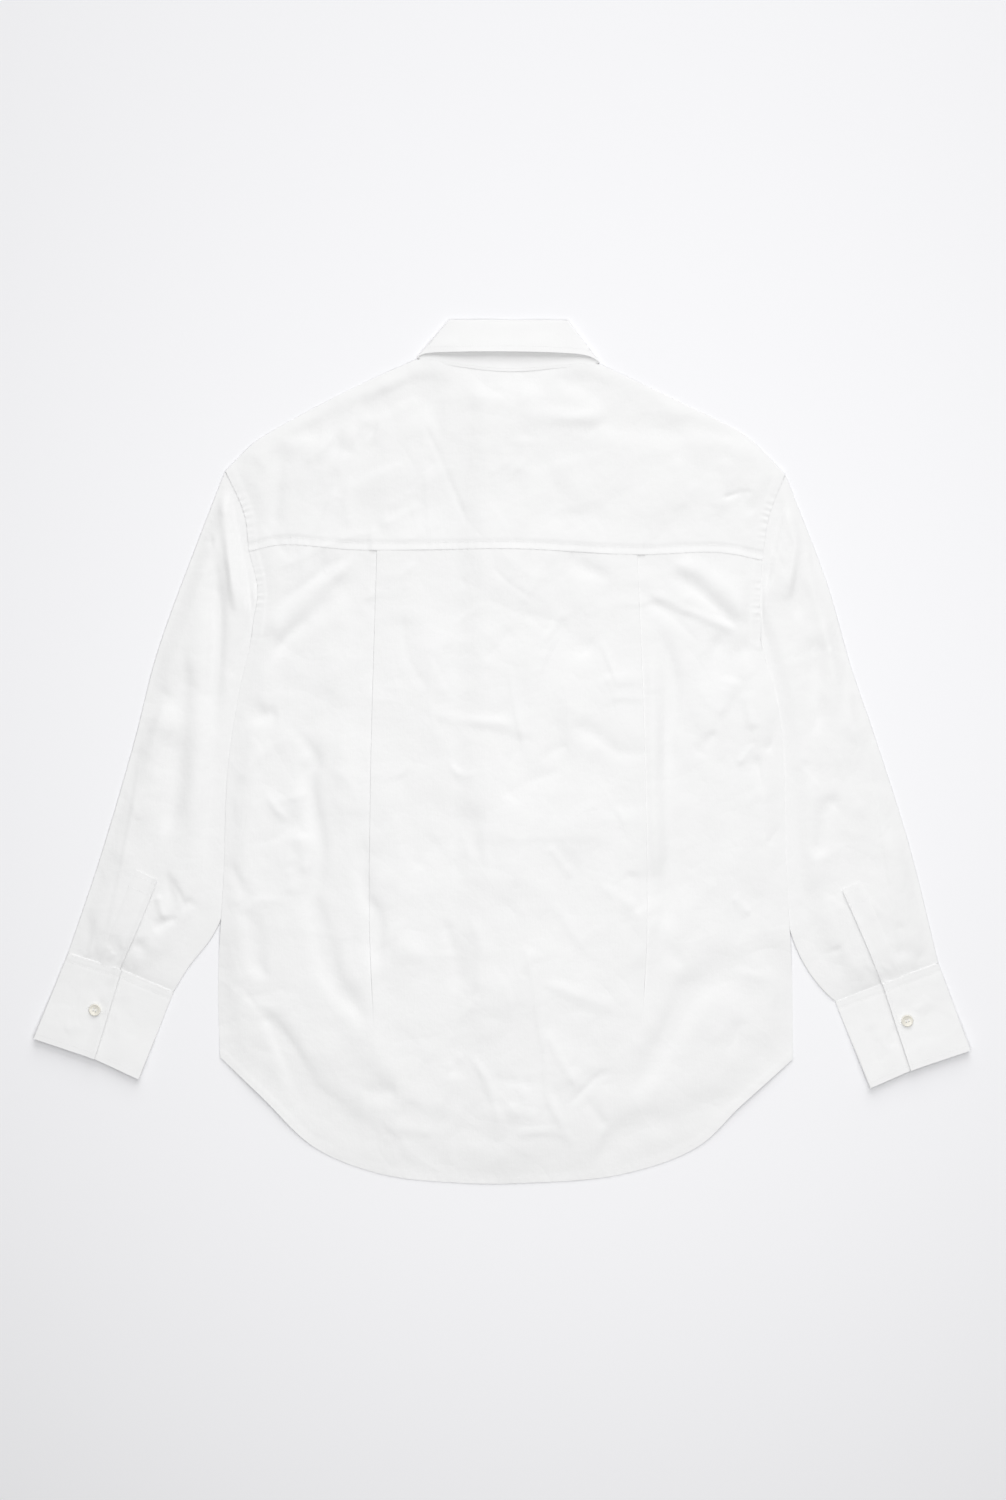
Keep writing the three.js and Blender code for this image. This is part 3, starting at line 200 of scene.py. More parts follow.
def step(half: float, height: float, *route: tuple[float, float]) -> Crease:
    """Returns a step along a route, raised on the left of its direction."""
    return Crease(Form.STEP, half, height, route)


YOKE_CREASES = [
    soft(14, -3.6, (-38, 360), (-70, 349), (-103, 337), (-144, 325), (-176, 310), (-213, 300)),
    soft(9, 1.2, (-50, 372), (-103, 354), (-150, 334)),
    soft(11, 1.5, (-70, 345), (-107, 325), (-150, 320)),
    soft(7, -1.2, (-133, 313), (-121, 304)),
    soft(8, -1.3, (-167, 297), (-142, 285)),
    soft(9, -1.8, (-210, 298), (-217, 237), (-221, 204)),
    sharp(5, 0.9, (-158, 256), (-168, 232), (-178, 208)),
    sharp(4, -0.8, (-80, 322), (-65, 293), (-48, 254), (-32, 214)),
    soft(8, -0.8, (-65, 341), (-59, 295)),
    soft(6, -1.0, (-14, 347), (20, 340)),
    soft(13, -3.2, (44, 360), (87, 350), (125, 337), (165, 322)),
    soft(13, -2.6, (79, 322), (114, 318), (139, 312), (166, 310), (187, 313), (214, 306), (236, 294)),
    soft(9, 1.6, (15, 324), (73, 320), (110, 324)),
    sharp(4, -1.3, (210, 242), (228, 248), (242, 249)),
    soft(7, -1.0, (228, 247), (245, 229)),
    soft(16, 1.2, (-120, 275), (-100, 230)),
    soft(18, 1.1, (60, 285), (75, 225)),
    soft(12, 1.0, (165, 285), (180, 230)),
    soft(9, 0.9, (214, 285), (208, 225)),
]
BACK_CREASES = [
    soft(9, 2.1, (-237, 104), (-206, 132), (-176, 156), (-138, 187)),
    soft(7, -1.3, (-233, 118), (-206, 146), (-180, 166), (-148, 190)),
    soft(9, -1.7, (-226, 80), (-203, 112), (-172, 138), (-134, 172)),
    soft(9, 2.5, (160, 181), (189, 172), (219, 149), (240, 119)),
    soft(7, -1.5, (155, 170), (180, 161), (204, 141), (233, 108)),
    soft(5, 1.0, (136, 154), (192, 129), (238, 112)),
    soft(8, -1.0, (135, 146), (187, 124)),
    soft(9, -1.4, (198, 107), (225, 97), (243, 102)),
    soft(9, -1.4, (58, 188), (83, 174), (108, 165)),
    sharp(3, -0.6, (-12, 181), (2, 165), (34, 143)),
    sharp(2.5, -0.5, (-39, 166), (-35, 157)),
    soft(12, -1.0, (50, 125), (90, 92)),
    sharp(5, 1.2, (93, 110), (103, 86), (114, 57)),
    sharp(4, 0.9, (112, 70), (126, 52)),
    sharp(5, 1.0, (6, 86), (12, 47), (22, 0)),
    soft(7, -1.2, (64, 27), (89, 16), (124, -11)),
    soft(7, 1.1, (-72, 38), (-36, 30), (18, 26)),
    sharp(5, 0.9, (-52, -8), (-41, -22), (-21, -20)),
    sharp(5, 0.8, (-115, 70), (-99, 58)),
    step(16, 0.35, (-24, -85), (110, -85)),
    sharp(5, 0.9, (43, -89), (68, -121)),
    sharp(5, 1.0, (106, -50), (134, -90)),
    soft(7, -1.3, (120, -113), (134, -157)),
    soft(10, -1.2, (-30, -46), (-21, -121)),
    soft(11, -3.2, (146, 134), (162, 72), (159, 13), (156, -48), (162, -97), (159, -141), (168, -188)),
    soft(8, 2.6, (142, 109), (147, -47), (151, -146)),
    soft(7, 1.1, (224, 73), (209, 33)),
    soft(6, 1.1, (233, 58), (241, 18)),
    soft(6, -1.1, (207, 21), (185, -5)),
    sharp(5, 1.0, (242, 7), (225, -14)),
    sharp(5, -1.2, (243, -2), (251, -44)),
    sharp(6, -1.5, (270, 30), (253, -3)),
    sharp(6, -1.5, (272, -69), (253, -88)),
    sharp(5, 1.0, (220, -138), (239, -157)),
    soft(10, -2.0, (-249, 41), (-230, 35), (-213, 38)),
    soft(10, -3.4, (-206, 30), (-184, 2), (-180, -9), (-185, -23), (-182, -53), (-176, -79),
         (-175, -108), (-182, -141), (-176, -163), (-160, -221), (-137, -252), (-132, -285)),
    sharp(6, 1.2, (-227, -38), (-217, -55), (-203, -67)),
    soft(6, 1.2, (-194, -75), (-187, -119)),
    soft(6, -1.6, (-264, -20), (-259, -83)),
    soft(7, -1.7, (-262, -106), (-242, -152)),
    soft(8, -1.9, (-262, -144), (-239, -168), (-233, -207), (-220, -219)),
    sharp(5, 1.0, (-122, -51), (-109, -83)),
    soft(9, -2.6, (-132, -73), (-133, -115), (-129, -141), (-121, -156), (-123, -218)),
    soft(13, -4.2, (-236, -242), (-218, -264), (-198, -303), (-186, -329), (-164, -346), (-137, -366),
         (-113, -378), (-90, -391)),
    soft(12, -2.5, (230, -324), (187, -346), (145, -359), (114, -369), (100, -385), (75, -403)),
    soft(14, -3.3, (220, -179), (204, -214), (180, -234), (160, -271), (141, -305), (122, -334)),
    sharp(4.5, 1.3, (22, -188), (30, -216), (35, -257), (41, -288), (44, -330), (54, -351), (71, -380)),
    soft(6, 1.0, (33, -218), (73, -234), (114, -250)),
    sharp(4.5, 1.0, (40, -265), (56, -296), (74, -323)),
    sharp(4, -1.1, (58, -345), (77, -326), (93, -311), (110, -307)),
    sharp(5, 1.1, (8, -366), (56, -366), (71, -379)),
    sharp(4, -0.9, (-13, -312), (33, -320)),
    soft(6, 0.9, (2, -341), (37, -352)),
    soft(6, -1.0, (80, -332), (101, -363)),
    sharp(5, 1.1, (-32, -288), (-15, -315), (-1, -362)),
    soft(7, -1.0, (-135, -327), (-98, -327)),
    soft(7, 1.0, (-115, -359), (-62, -366)),
    soft(7, 1.0, (-100, -375), (-79, -395), (-53, -402)),
    sharp(5, 0.8, (-20, -231), (-42, -262)),
    sharp(5, 0.8, (-38, -289), (-54, -307)),
    soft(12, 0.8, (-108, -190), (-66, -193)),
    soft(7, -1.1, (-57, -157), (-45, -201), (-41, -233)),
    soft(11, -1.3, (114, -141), (123, -184), (125, -216), (139, -253)),
    soft(10, -1.2, (154, -141), (157, -184), (178, -209)),
    soft(18, -1.5, (-45, -350), (6, -385)),
    step(7, 0.9, (-261, -286), (-270, -228), (-266, -150)),
    step(7, 0.9, (275, -170), (269, -235), (274, -289)),
    soft(18, 1.7, (-150, -180), (-120, -290), (-70, -350)),
    soft(20, 1.6, (60, 120), (75, 0), (60, -120)),
    soft(20, 1.5, (-70, 130), (-60, 60), (-75, -60)),
    soft(15, 1.4, (-165, 110), (-150, 20), (-150, -90)),
    soft(14, 1.3, (205, 90), (200, -10), (206, -110)),
    soft(16, 1.2, (10, -40), (0, -150)),
    step(14, 0.22, (112, 2), (113, -120), (116, -248)),
    step(14, 0.18, (-97, -160), (-96, -110), (-98, -52)),
]
SLEEVE_CREASES = {
    "left": [
        soft(5, -4.2, (-264, 262), (-255, 238), (-249, 206), (-243, 169), (-240, 120)),
        soft(5.5, 2.4, (-268, 254), (-263, 200), (-254, 128)),
        soft(10, -3.6, (-275, 206), (-273, 120), (-275, 72), (-277, -14), (-277, -104), (-276, -121)),
        soft(9, -2.4, (-304, 105), (-304, 59), (-309, 3), (-312, -39), (-326, -95)),
        soft(7, -1.2, (-321, 67), (-336, 30), (-345, 8)),
        soft(5, -1.0, (-292, 201), (-275, 201)),
        soft(6, -1.4, (-322, -112), (-316, -141), (-308, -162)),
        sharp(4, 1.3, (-331, -136), (-323, -162)),
        soft(5, -1.6, (-336, -171), (-320, -163), (-309, -159)),
        soft(5, -1.6, (-306, -143), (-294, -148), (-280, -158)),
        soft(6, -1.6, (-403, -146), (-397, -174), (-395, -194)),
        soft(6, -1.6, (-416, -178), (-395, -195)),
        soft(5, -1.5, (-378, -178), (-369, -190), (-363, -200)),
        soft(8, -1.2, (-352, -178), (-331, -215)),
        soft(13, 2.0, (-290, 190), (-292, 60), (-296, -60), (-310, -110)),
        soft(13, 1.8, (-322, 60), (-332, -20), (-345, -80)),
        sharp(4, -1.0, (-318, -120), (-308, -138), (-302, -158)),
        step(13, 0.9, (-347, 8), (-353, -39), (-361, -85), (-385, -202)),
        step(9, 0.35, (-392, -150), (-383, -83)),
    ],
    "right": [
        soft(5, -2.8, (268, 252), (262, 212), (257, 182), (252, 148)),
        soft(6, 1.8, (281, 240), (280, 190), (272, 140)),
        soft(6, 1.2, (291, 226), (296, 182), (304, 120)),
        soft(6, -1.2, (277, 208), (282, 157), (286, 120)),
        soft(9, -2.0, (302, 118), (300, 59), (304, 35), (296, 12)),
        sharp(5, 1.0, (311, 99), (333, 83)),
        soft(7, 1.2, (334, 74), (336, 25), (347, 6)),
        soft(8, -1.6, (324, -39), (309, -63), (301, -106)),
        sharp(5, -1.4, (280, -175), (299, -184), (305, -194), (321, -190), (329, -183)),
        soft(5, -1.0, (282, -148), (293, -149)),
        soft(6, -1.1, (323, -185), (321, -220)),
        soft(5, -1.0, (343, -217), (362, -216)),
        soft(9, -1.8, (386, -204), (404, -196), (418, -191)),
        soft(12, 1.8, (306, 150), (318, 60), (330, -30)),
        soft(12, 1.6, (300, -20), (292, -100), (296, -150)),
        soft(10, 1.5, (372, -60), (392, -140), (404, -180)),
        step(12, 0.8, (336, 25), (346, 8), (356, -38), (364, -85), (372, -133), (378, -180), (386, -214)),
    ],
}


def scattered(seed: int, count: int, low: tuple[float, float], high: tuple[float, float],
              lean: float = 0.0) -> list[Crease]:
    """Faint straight creases strewn over a box, most of them near one direction.

    Args:
        seed: seed of the places.
        count: how many creases.
        low: least x and y.
        high: greatest x and y.
        lean: the usual direction, in radians from +Y towards +X.

    Returns:
        The creases.
    """
    rng = np.random.default_rng(seed)
    made = []
    for _ in range(count):
        x, y = rng.uniform(low[0], high[0]), rng.uniform(low[1], high[1])
        angle, length = lean + rng.normal(0, 0.75), rng.uniform(22, 90)
        dx, dy = math.sin(angle) * length / 2, math.cos(angle) * length / 2
        bend = rng.normal(0, 0.07, 2) * length
        route = ((x - dx, y - dy), (x + bend[0], y + bend[1]), (x + dx, y + dy))
        height = rng.choice((-1, 1)) * rng.uniform(0.4, 1.0)
        if rng.random() < 0.3:
            made.append(step(rng.uniform(9, 22), 0.6 * abs(height), *route))
        else:
            made.append(sharp(rng.uniform(9, 17), height, *route))
    return made


BACK_CREASES += scattered(11, 90, (-275, -400), (275, 190), 0.1)
YOKE_CREASES += scattered(12, 26, (-240, 200), (240, 350), 0.5)
SLEEVE_CREASES["left"] += scattered(13, 22, (-410, -190), (-255, 240), 0.3)
SLEEVE_CREASES["right"] += scattered(14, 22, (255, -190), (410, 240), -0.3)
CUFF_CREASES = {
    "left": [soft(8, -0.9, (-434, -227), (-405, -241)), soft(7, -0.5, (-372, -236), (-350, -275)),
             soft(5, -0.4, (-386, -252), (-372, -262)), soft(5, 0.4, (-404, -262), (-420, -266)),
             soft(5, 0.4, (-386, -241), (-368, -226))],
    "right": [soft(8, -0.8, (402, -258), (436, -264)), soft(7, -0.5, (352, -262), (366, -300)),
              soft(5, 0.4, (396, -250), (410, -236)), soft(5, -0.4, (378, -262), (372, -285))],
}
COLLAR_CREASES = [soft(12, -0.5, (-30, 408), (-5, 396), (30, 402), (52, 406)),
                  soft(7, 0.4, (-70, 386), (-40, 392))]
FRONT_CREASES = {
    "left": [soft(15, 1.6, (-200, 250), (-150, 180), (-110, 60)), soft(13, 1.4, (-180, 40), (-150, -120)),
             soft(12, 1.3, (-90, -40), (-70, -200)), soft(16, 1.6, (-220, -200), (-150, -310))],
    "right": [soft(15, 1.6, (210, 240), (160, 170), (120, 70)), soft(13, 1.4, (190, 30), (160, -110)),
              soft(12, 1.3, (80, -30), (90, -190)), soft(16, 1.6, (230, -210), (150, -320))],
}


# ------------------------------------------------------------------ plane geometry
def smooth(value: Values, low: float, high: float) -> Values:
    """Smooth 0 to 1 as value runs from low to high, which may be the larger one."""
    t = np.clip((value - low) / (high - low), 0.0, 1.0)
    return t * t * (3.0 - 2.0 * t)


def mix(a: Values, b: Values, share: Values) -> Values:
    """Value between a and b."""
    return a + (b - a) * share


def curve_points(rows: Sequence[tuple[float, float]], steps: int) -> np.ndarray:
    """Evenly spaced points on a smooth curve through rows.

    Args:
        rows: points the curve passes through.
        steps: how many equal steps it is cut into.

    Returns:
        An array of steps + 1 points.
    """
    pts = np.array(rows, float)
    if len(pts) == 2:
        fine = pts
    else:
        ends = np.vstack([2 * pts[0] - pts[1], pts, 2 * pts[-1] - pts[-2]])
        fine = []
        for p0, p1, p2, p3 in zip(ends, ends[1:], ends[2:], ends[3:]):
            d0, d1, d2 = (max(np.sum((b - a) ** 2) ** 0.25, 1e-4) for a, b in ((p0, p1), (p1, p2), (p2, p3)))
            m1 = ((p1 - p0) / d0 - (p2 - p0) / (d0 + d1) + (p2 - p1) / d1) * d1
            m2 = ((p2 - p1) / d1 - (p3 - p1) / (d1 + d2) + (p3 - p2) / d2) * d1
            t = np.linspace(0, 1, 60, endpoint=False)[:, None]
            fine.append(p1 + m1 * t + (3 * (p2 - p1) - 2 * m1 - m2) * t**2 + (2 * (p1 - p2) + m1 + m2) * t**3)
        fine = np.vstack([*fine, pts[-1:]])
    return resample(fine, steps)


def resample(pts: np.ndarray, steps: int) -> np.ndarray:
    """Evenly spaced points along a polyline."""
    run = np.concatenate([[0], np.cumsum(np.linalg.norm(np.diff(pts, axis=0), axis=1))])
    at = np.linspace(0, run[-1], steps + 1)
    return np.stack([np.interp(at, run, pts[:, k]) for k in range(pts.shape[1])], axis=1)


class Line:
    """A plane line kept as points, which can be read by share, by x or by y."""

    def __init__(self, points: np.ndarray) -> None:
        """Args: points: an array of (x, y)."""
        self.p = np.asarray(points, float)
        self.length = float(np.sum(np.linalg.norm(np.diff(self.p, axis=0), axis=1)))

    @classmethod
    def through(cls, rows: Sequence[tuple[float, float]], steps: int = 160) -> "Line":
        """Returns a smooth line through a table's rows."""
        return cls(curve_points(rows, steps))

    def at(self, share: Values) -> np.ndarray:
        """Returns the point or points at a share of the line, which is evenly spaced."""
        s = np.clip(share, 0, 1) * (len(self.p) - 1)
        grid = np.arange(len(self.p))
        return np.stack([np.interp(s, grid, self.p[:, 0]), np.interp(s, grid, self.p[:, 1])], axis=-1)

    def y_at(self, x: Values) -> Values:
        """Returns y where the line crosses x."""
        order = np.argsort(self.p[:, 0])
        return np.interp(x, self.p[order, 0], self.p[order, 1])

    def x_at(self, y: Values) -> Values:
        """Returns x where the line crosses y."""
        order = np.argsort(self.p[:, 1])
        return np.interp(y, self.p[order, 1], self.p[order, 0])

    def bow(self, share: Values) -> Values:
        """How far a line that runs across bows off its own chord."""
        a, b = self.p[0], self.p[-1]
        return self.y_at(mix(a[0], b[0], share)) - mix(a[1], b[1], share)


def near_route(route: np.ndarray, x: np.ndarray, y: np.ndarray) -> tuple[np.ndarray, np.ndarray, np.ndarray]:
    """Distance to a route, the share of it that is nearest, and the side: + on its left."""
    best = np.full(x.shape, np.inf)
    share, side = np.zeros(x.shape), np.ones(x.shape)
    spans = len(route) - 1
    for k in range(spans):
        (ax, ay), (bx, by) = route[k], route[k + 1]
        ux, uy = bx - ax, by - ay
        t = np.clip(((x - ax) * ux + (y - ay) * uy) / (ux * ux + uy * uy), 0, 1)
        dx, dy = x - ax - t * ux, y - ay - t * uy
        d = np.hypot(dx, dy)
        closer = d < best
        best = np.where(closer, d, best)
        share = np.where(closer, (k + t) / spans, share)
        side = np.where(closer, np.sign(ux * dy - uy * dx), side)
    return best, share, side


def in_polygon(outline: np.ndarray, x: np.ndarray, y: np.ndarray) -> np.ndarray:
    """True where a point is inside a closed outline."""
    inside = np.zeros(x.shape, bool)
    for (ax, ay), (bx, by) in zip(outline, np.roll(outline, -1, axis=0)):
        if ay == by:
            continue
        crosses = ((ay > y) != (by > y)) & (x < ax + (bx - ax) * (y - ay) / (by - ay))
        inside ^= crosses
    return inside


class Noise:
    """Smooth random field in the plane, with a fixed seed."""

    SIZE = 256

    def __init__(self, seed: int) -> None:
        """Args: seed: seed of the field's table."""
        self.table = np.random.default_rng(seed).uniform(-1, 1, (self.SIZE, self.SIZE))

    def __call__(self, x: Values, y: Values, wave: float, stretch: float = 1.0) -> Values:
        """Returns the field with features about wave across, and stretch times that along y."""
        u, v = np.asarray(x) / wave + 61.7, np.asarray(y) / (wave * stretch) + 17.3
        iu, iv = np.floor(u).astype(int), np.floor(v).astype(int)
        fu, fv = u - iu, v - iv
        fu, fv = fu**3 * (fu * (6 * fu - 15) + 10), fv**3 * (fv * (6 * fv - 15) + 10)
        t, n = self.table, self.SIZE
        a, b = t[iu % n, iv % n], t[(iu + 1) % n, iv % n]
        c, d = t[iu % n, (iv + 1) % n], t[(iu + 1) % n, (iv + 1) % n]
        return mix(mix(a, b, fu), mix(c, d, fu), fv)


def crease_height(creases: Sequence[Crease], x: np.ndarray, y: np.ndarray,
                  strength: float = 1.0) -> np.ndarray:
    """Sum of creases at points. Each varies in width along its route and dies away at its ends."""
    z = np.zeros(x.shape)
    for number, c in enumerate(creases):
        route = curve_points(c.route, 6 * max(len(c.route) - 1, 1))
        reach = 3.2 * c.half
        low, high = route.min(axis=0) - reach, route.max(axis=0) + reach
        near = (x > low[0]) & (x < high[0]) & (y > low[1]) & (y < high[1])
        if not near.any():
            continue
        d, share, side = near_route(route, x[near], y[near])
        ends = smooth(share, 0, 0.22) * (1 - smooth(share, 0.78, 1))
        beyond = np.where((share <= 0) | (share >= 1), 0.0, 1.0)
        half = c.half * (1 + 0.28 * np.sin(5.1 * share + 1.7 * number)) * (0.55 + 0.45 * ends)
        swell = 1 + 0.25 * np.sin(7.3 * share + 2.9 * number)
        if c.form is Form.SOFT:
            profile = np.exp(-((d / half) ** 2))
        elif c.form is Form.SHARP:
            profile = np.exp(-(np.sqrt(d * d + 0.8) - 0.894) / (0.5 * half))
        else:
            signed = d * side
            profile = 0.5 * (1 + np.tanh(signed / 1.1)) * np.exp(-np.maximum(signed, 0) / half)
        z[near] += c.height * strength * ends * beyond * swell * profile
    return z


# ------------------------------------------------------------------ shared edges
ARM = 48                   # points of half an armhole
BODY_END = 252             # point number of the hem corner on the body's edge
UNDER_YOKE = 44.5          # point number where the back ends under the yoke


class Edges:
    """The lines that several pieces share."""

    def __init__(self) -> None:
        """Draws each line through its table's rows."""
        self.arm, self.body, self.sleeve_inner, self.sleeve_outer, self.pleat = {}, {}, {}, {}, {}
        for side in SIDES:
            upper = curve_points(ARM_UPPER[side], ARM)
            lower = curve_points(ARM_LOWER[side], ARM)
            self.arm[side] = Line(np.vstack([upper, lower[1:]]))
            below = curve_points(SIDE_SEAM[side], BODY_END - 2 * ARM)
            self.body[side] = Line(np.vstack([upper, lower[1:], below[1:]]))
            self.sleeve_inner[side] = Line.through(SLEEVE_INNER[side])
            self.sleeve_outer[side] = Line.through(SLEEVE_OUTER[side])
            self.pleat[side] = Line.through(PLEAT[side])
        self.hem = Line.through(HEM, 300)
        self.yoke = Line.through(YOKE_SEAM)
        self.neck = Line.through(NECK)
        self.leaf_edge = Line.through(COLLAR_EDGE)
        self.shoulder = {side: Line.through(SHOULDER[side]) for side in SIDES}


E = Edges()
NOISE = Noise(41)
NOISE2 = Noise(77)


# ------------------------------------------------------------------ how the layers lie
def ramp(distance: Values, level: float = 3.0, width: float = 32.0) -> Values:
    """Share of a lift beside an object, from 1 on its level margin to 0 past the ramp."""
    return 1 - smooth(distance, level, level + width)


def sleeve_lift(side: str, x: Values, y: Values) -> Values:
    """The body lies over the sleeve's inner edge, from the underarm to where the sleeve comes out."""
    top, leave = SLEEVE_INNER[side][0][1], SLEEVE_INNER[side][1][1]
    inward = (E.sleeve_inner[side].x_at(np.minimum(y, top)) - x) * OUT[side]
    above = 1 - smooth(y, top + 38, top + 82)
    below = smooth(y, leave - 55, leave - 6)
    return (S.sleeve_layer + 0.6) * ramp(inward) * above * below


def leaf_lift(side: str, x: Values, y: Values) -> Values:
    """The fronts lie over the collar's leaves."""
    rows = np.array(COLLAR[side][1:], float)
    outline = np.vstack([rows[:, 0:2], rows[::-1, 4:6]])
    d, _, _ = near_route(np.vstack([outline, outline[:1]]), x, y)
    return 1.15 * ramp(np.where(in_polygon(outline, x, y), 0, d), 26.0)


def beyond_band(x: Values) -> Values:
    """Distance out of the front band."""
    return np.abs(x - S.centre) - S.band / 2


def underlap(x: Values, y: Values) -> Values:
    """Rise of the layers over the front band."""
    return S.layer * mix(0.4, 1, smooth(y, -340, -230)) * ramp(beyond_band(x))


def band_rise(y: Values) -> Values:
    """The band stands on its buttons, and lies down below the lowest one."""
    return mix(0.7, S.band_lift, smooth(y, -300, -210))


def below_neck(y: Values) -> Values:
    """1 over the fronts, 0 in the neck's opening."""
    return 1 - smooth(y, 338, 366)


def lower_z(x: Values, y: Values) -> Values:
    """Middle of the lowest body layer."""
    lifts = [sleeve_lift(side, x, y) for side in SIDES] + [leaf_lift(side, x, y) for side in SIDES]
    return S.lowest + np.maximum.reduce([*lifts, band_rise(y) * ramp(beyond_band(x)) * below_neck(y)])


def from_side(x: Values, y: Values) -> Values:
    """Distance in from the body's side edges."""
    return np.minimum(x - E.body["left"].x_at(y), E.body["right"].x_at(y) - x)


def undulation(x: Values, y: Values) -> Values:
    """Broad and fine unevenness of washed poplin."""
    wx, wy = x + 9 * NOISE(x, y, 70), y + 9 * NOISE2(x, y, 64)
    broad = 0.75 * NOISE(wx, wy, 46, 1.5) + 0.4 * NOISE2(wx, wy, 24, 1.3)
    crisp = 0.35 * (0.35 - np.abs(NOISE2(wx + 300, wy, 38, 1.3)))
    crisp = crisp + 0.15 * (0.35 - np.abs(NOISE(wx, wy + 200, 21, 1.2)))
    return broad + crisp + 0.10 * NOISE(x, y, 9) + 0.05 * NOISE2(x, y, 5)


def pucker(line: Line, x: Values, y: Values, wave: float, reach: float, height: float,
           slant: float = 0.0) -> Values:
    """Short ripples that stand across a stitched line and die away beside it."""
    d, share, _ = near_route(line.p[::4] if len(line.p) > 60 else line.p, x, y)
    along = share * line.length + slant * d
    gate = 0.5 + 0.5 * NOISE2(along, 0 * along, 5 * wave)
    ripple = np.sin(2 * np.pi * (along / wave + 0.6 * NOISE(along, 0 * along, 2.2 * wave)))
    return height * gate * ripple * np.exp(-((d / reach) ** 2))


def pleat_path(y: float) -> tuple[np.ndarray, np.ndarray]:
    """Points through a pleat at one height of the back.

    Args:
        y: height on the back.

    Returns:
        x inwards from the pleat's fold, and rise, from the side panel to the centre panel.
    """
    held = float(smooth(y, -270, -150))
    depth = float(mix(0.4, S.pleat_depth, smooth(y, -150, -40)))
    radius = S.pleat_layer / 2
    near = min(0.6, depth / 4)
    turns = [0, 0, 30, 90, 150, 180, 180, 180, 180, 150, 90, 30, 0, 0]
    half = [depth / 2 - near]
    lengths = [depth - near, near] + [radius] * 3 + [near] + 2 * half
    lengths = lengths + [near] + [radius] * 3 + [near, depth - near]
    angle = np.radians(turns) * held
    x = np.concatenate([[0], np.cumsum(lengths * np.cos(angle))])
    rise = np.concatenate([[0], np.cumsum(lengths * np.sin(angle))])
    return x + depth / 2 - x[7], rise


PLEAT_ROWS = np.linspace(-420, 220, 321)
PLEAT_RISE = np.array([pleat_path(y)[1][-1] for y in PLEAT_ROWS])


def pleat_rise(x: Values, y: Values) -> Values:
    """The centre panel stands on the pleats' hidden layers beside each pleat's fold."""
    rise = np.interp(y, PLEAT_ROWS, PLEAT_RISE)
    lifts = []
    for side in SIDES:
        inward = (E.pleat[side].x_at(y) - x) * OUT[side]
        lifts.append(np.where(inward < -1, 0, 1 - smooth(inward, S.pleat_depth, 3 * S.pleat_depth)))
    return rise * np.maximum(*lifts)


def from_shoulder(x: Values, y: Values) -> Values:
    """Distance down from the shoulder lines, and from the nearer neck corner between them."""
    left, right = NECK[0], NECK[-1]
    sides = np.where(x < S.centre, E.shoulder["left"].y_at(x), E.shoulder["right"].y_at(x)) - y
    corner = np.minimum(np.hypot(x - left[0], y - left[1]), np.hypot(x - right[0], y - right[1]))
    return np.where((x > left[0]) & (x < right[0]), corner, sides)


def rounded(distance: Values, width: float) -> Values:
    """Share of a rounded edge's full height, from 0 at the edge to 1 at the width."""
    return 1 - (1 - np.clip(distance / width, 0, 1)) ** 1.8


def upper_z(x: Values, y: Values) -> Values:
    """Middle of the upper body layer, without the pleats."""
    above_hem = y - E.hem.y_at(x)
    inside = smooth(from_side(x, y), -6, 26) * mix(0.25, 1, smooth(above_hem, 0, 75))
    folds = crease_height(BACK_CREASES, x, y) + crease_height(YOKE_CREASES, x, y)
    folds = folds * smooth(from_side(x, y), -8, 12) + 0.9 * undulation(x, y)
    puff = inside * S.body_puff + mix(0.3, 1, inside) * folds
    lower = lower_z(x, y)
    layer = S.layer * mix(0.4, 1, smooth(above_hem, 0, 70))
    z = lower + underlap(x, y) * below_neck(y) + layer + np.logaddexp(puff / 0.5, -1.0) * 0.5
    beside_sleeve = S.lowest + (S.sleeve_layer + 0.25) * smooth(y, 98, 124)
    z = mix(np.maximum(lower + 0.28, beside_sleeve), z, rounded(from_side(x, y), 22))
    tip = np.minimum(*(np.hypot(x - SHOULDER[side][0][0], y - SHOULDER[side][0][1]) for side in SIDES))
    z = mix(lower + 0.7 + 1.4 * np.exp(-tip / 22), z, rounded(from_shoulder(x, y), 20))
    across = (x - NECK[0][0]) / (NECK[-1][0] - NECK[0][0])
    at_neck = np.sin(np.pi * np.clip(across, 0, 1)) ** 0.7 * (1 - rounded(E.neck.y_at(x) - y, 34))
    z = mix(z, lower + S.layer, at_neck)
    alone = smooth(-0.17 * E.hem.bow((x - HEM[0][0]) / (HEM[-1][0] - HEM[0][0])), 2, 9)
    corner = np.exp(-(((np.abs(x - S.centre) - 232) / 38) ** 2))
    hem = mix(lower + 0.28, S.lowest - 0.05, alone) + 2.8 * corner
    return mix(hem, z, smooth(above_hem, -8, 36))


def seam_dip(x: Values, y: Values) -> Values:
    """The topstitch above the yoke seam draws the cloth in, which tips the strip towards the seam."""
    return -0.5 * smooth(y - E.yoke.y_at(x), 0.3, 6.3)


# ------------------------------------------------------------------ meshes
def grid_normals(grid: np.ndarray, ring: bool) -> np.ndarray:
    """Unit normals of a grid of points, rows by columns."""
    if ring:
        across = np.roll(grid, -1, axis=1) - np.roll(grid, 1, axis=1)
    else:
        across = np.gradient(grid, axis=1)
    normal = np.cross(across, np.gradient(grid, axis=0))
    return normal / np.maximum(np.linalg.norm(normal, axis=2, keepdims=True), 1e-9)


def quads_of(index: np.ndarray, ring: bool, keep: np.ndarray | None = None) -> np.ndarray:
    """Corner numbers of each face of a grid."""
    right = np.roll(index, -1, axis=1) if ring else index[:, 1:]
    left = index if ring else index[:, :-1]
    quads = np.stack([left[:-1], right[:-1], right[1:], left[1:]], axis=-1)
    return quads[keep] if keep is not None else quads.reshape(-1, 4)


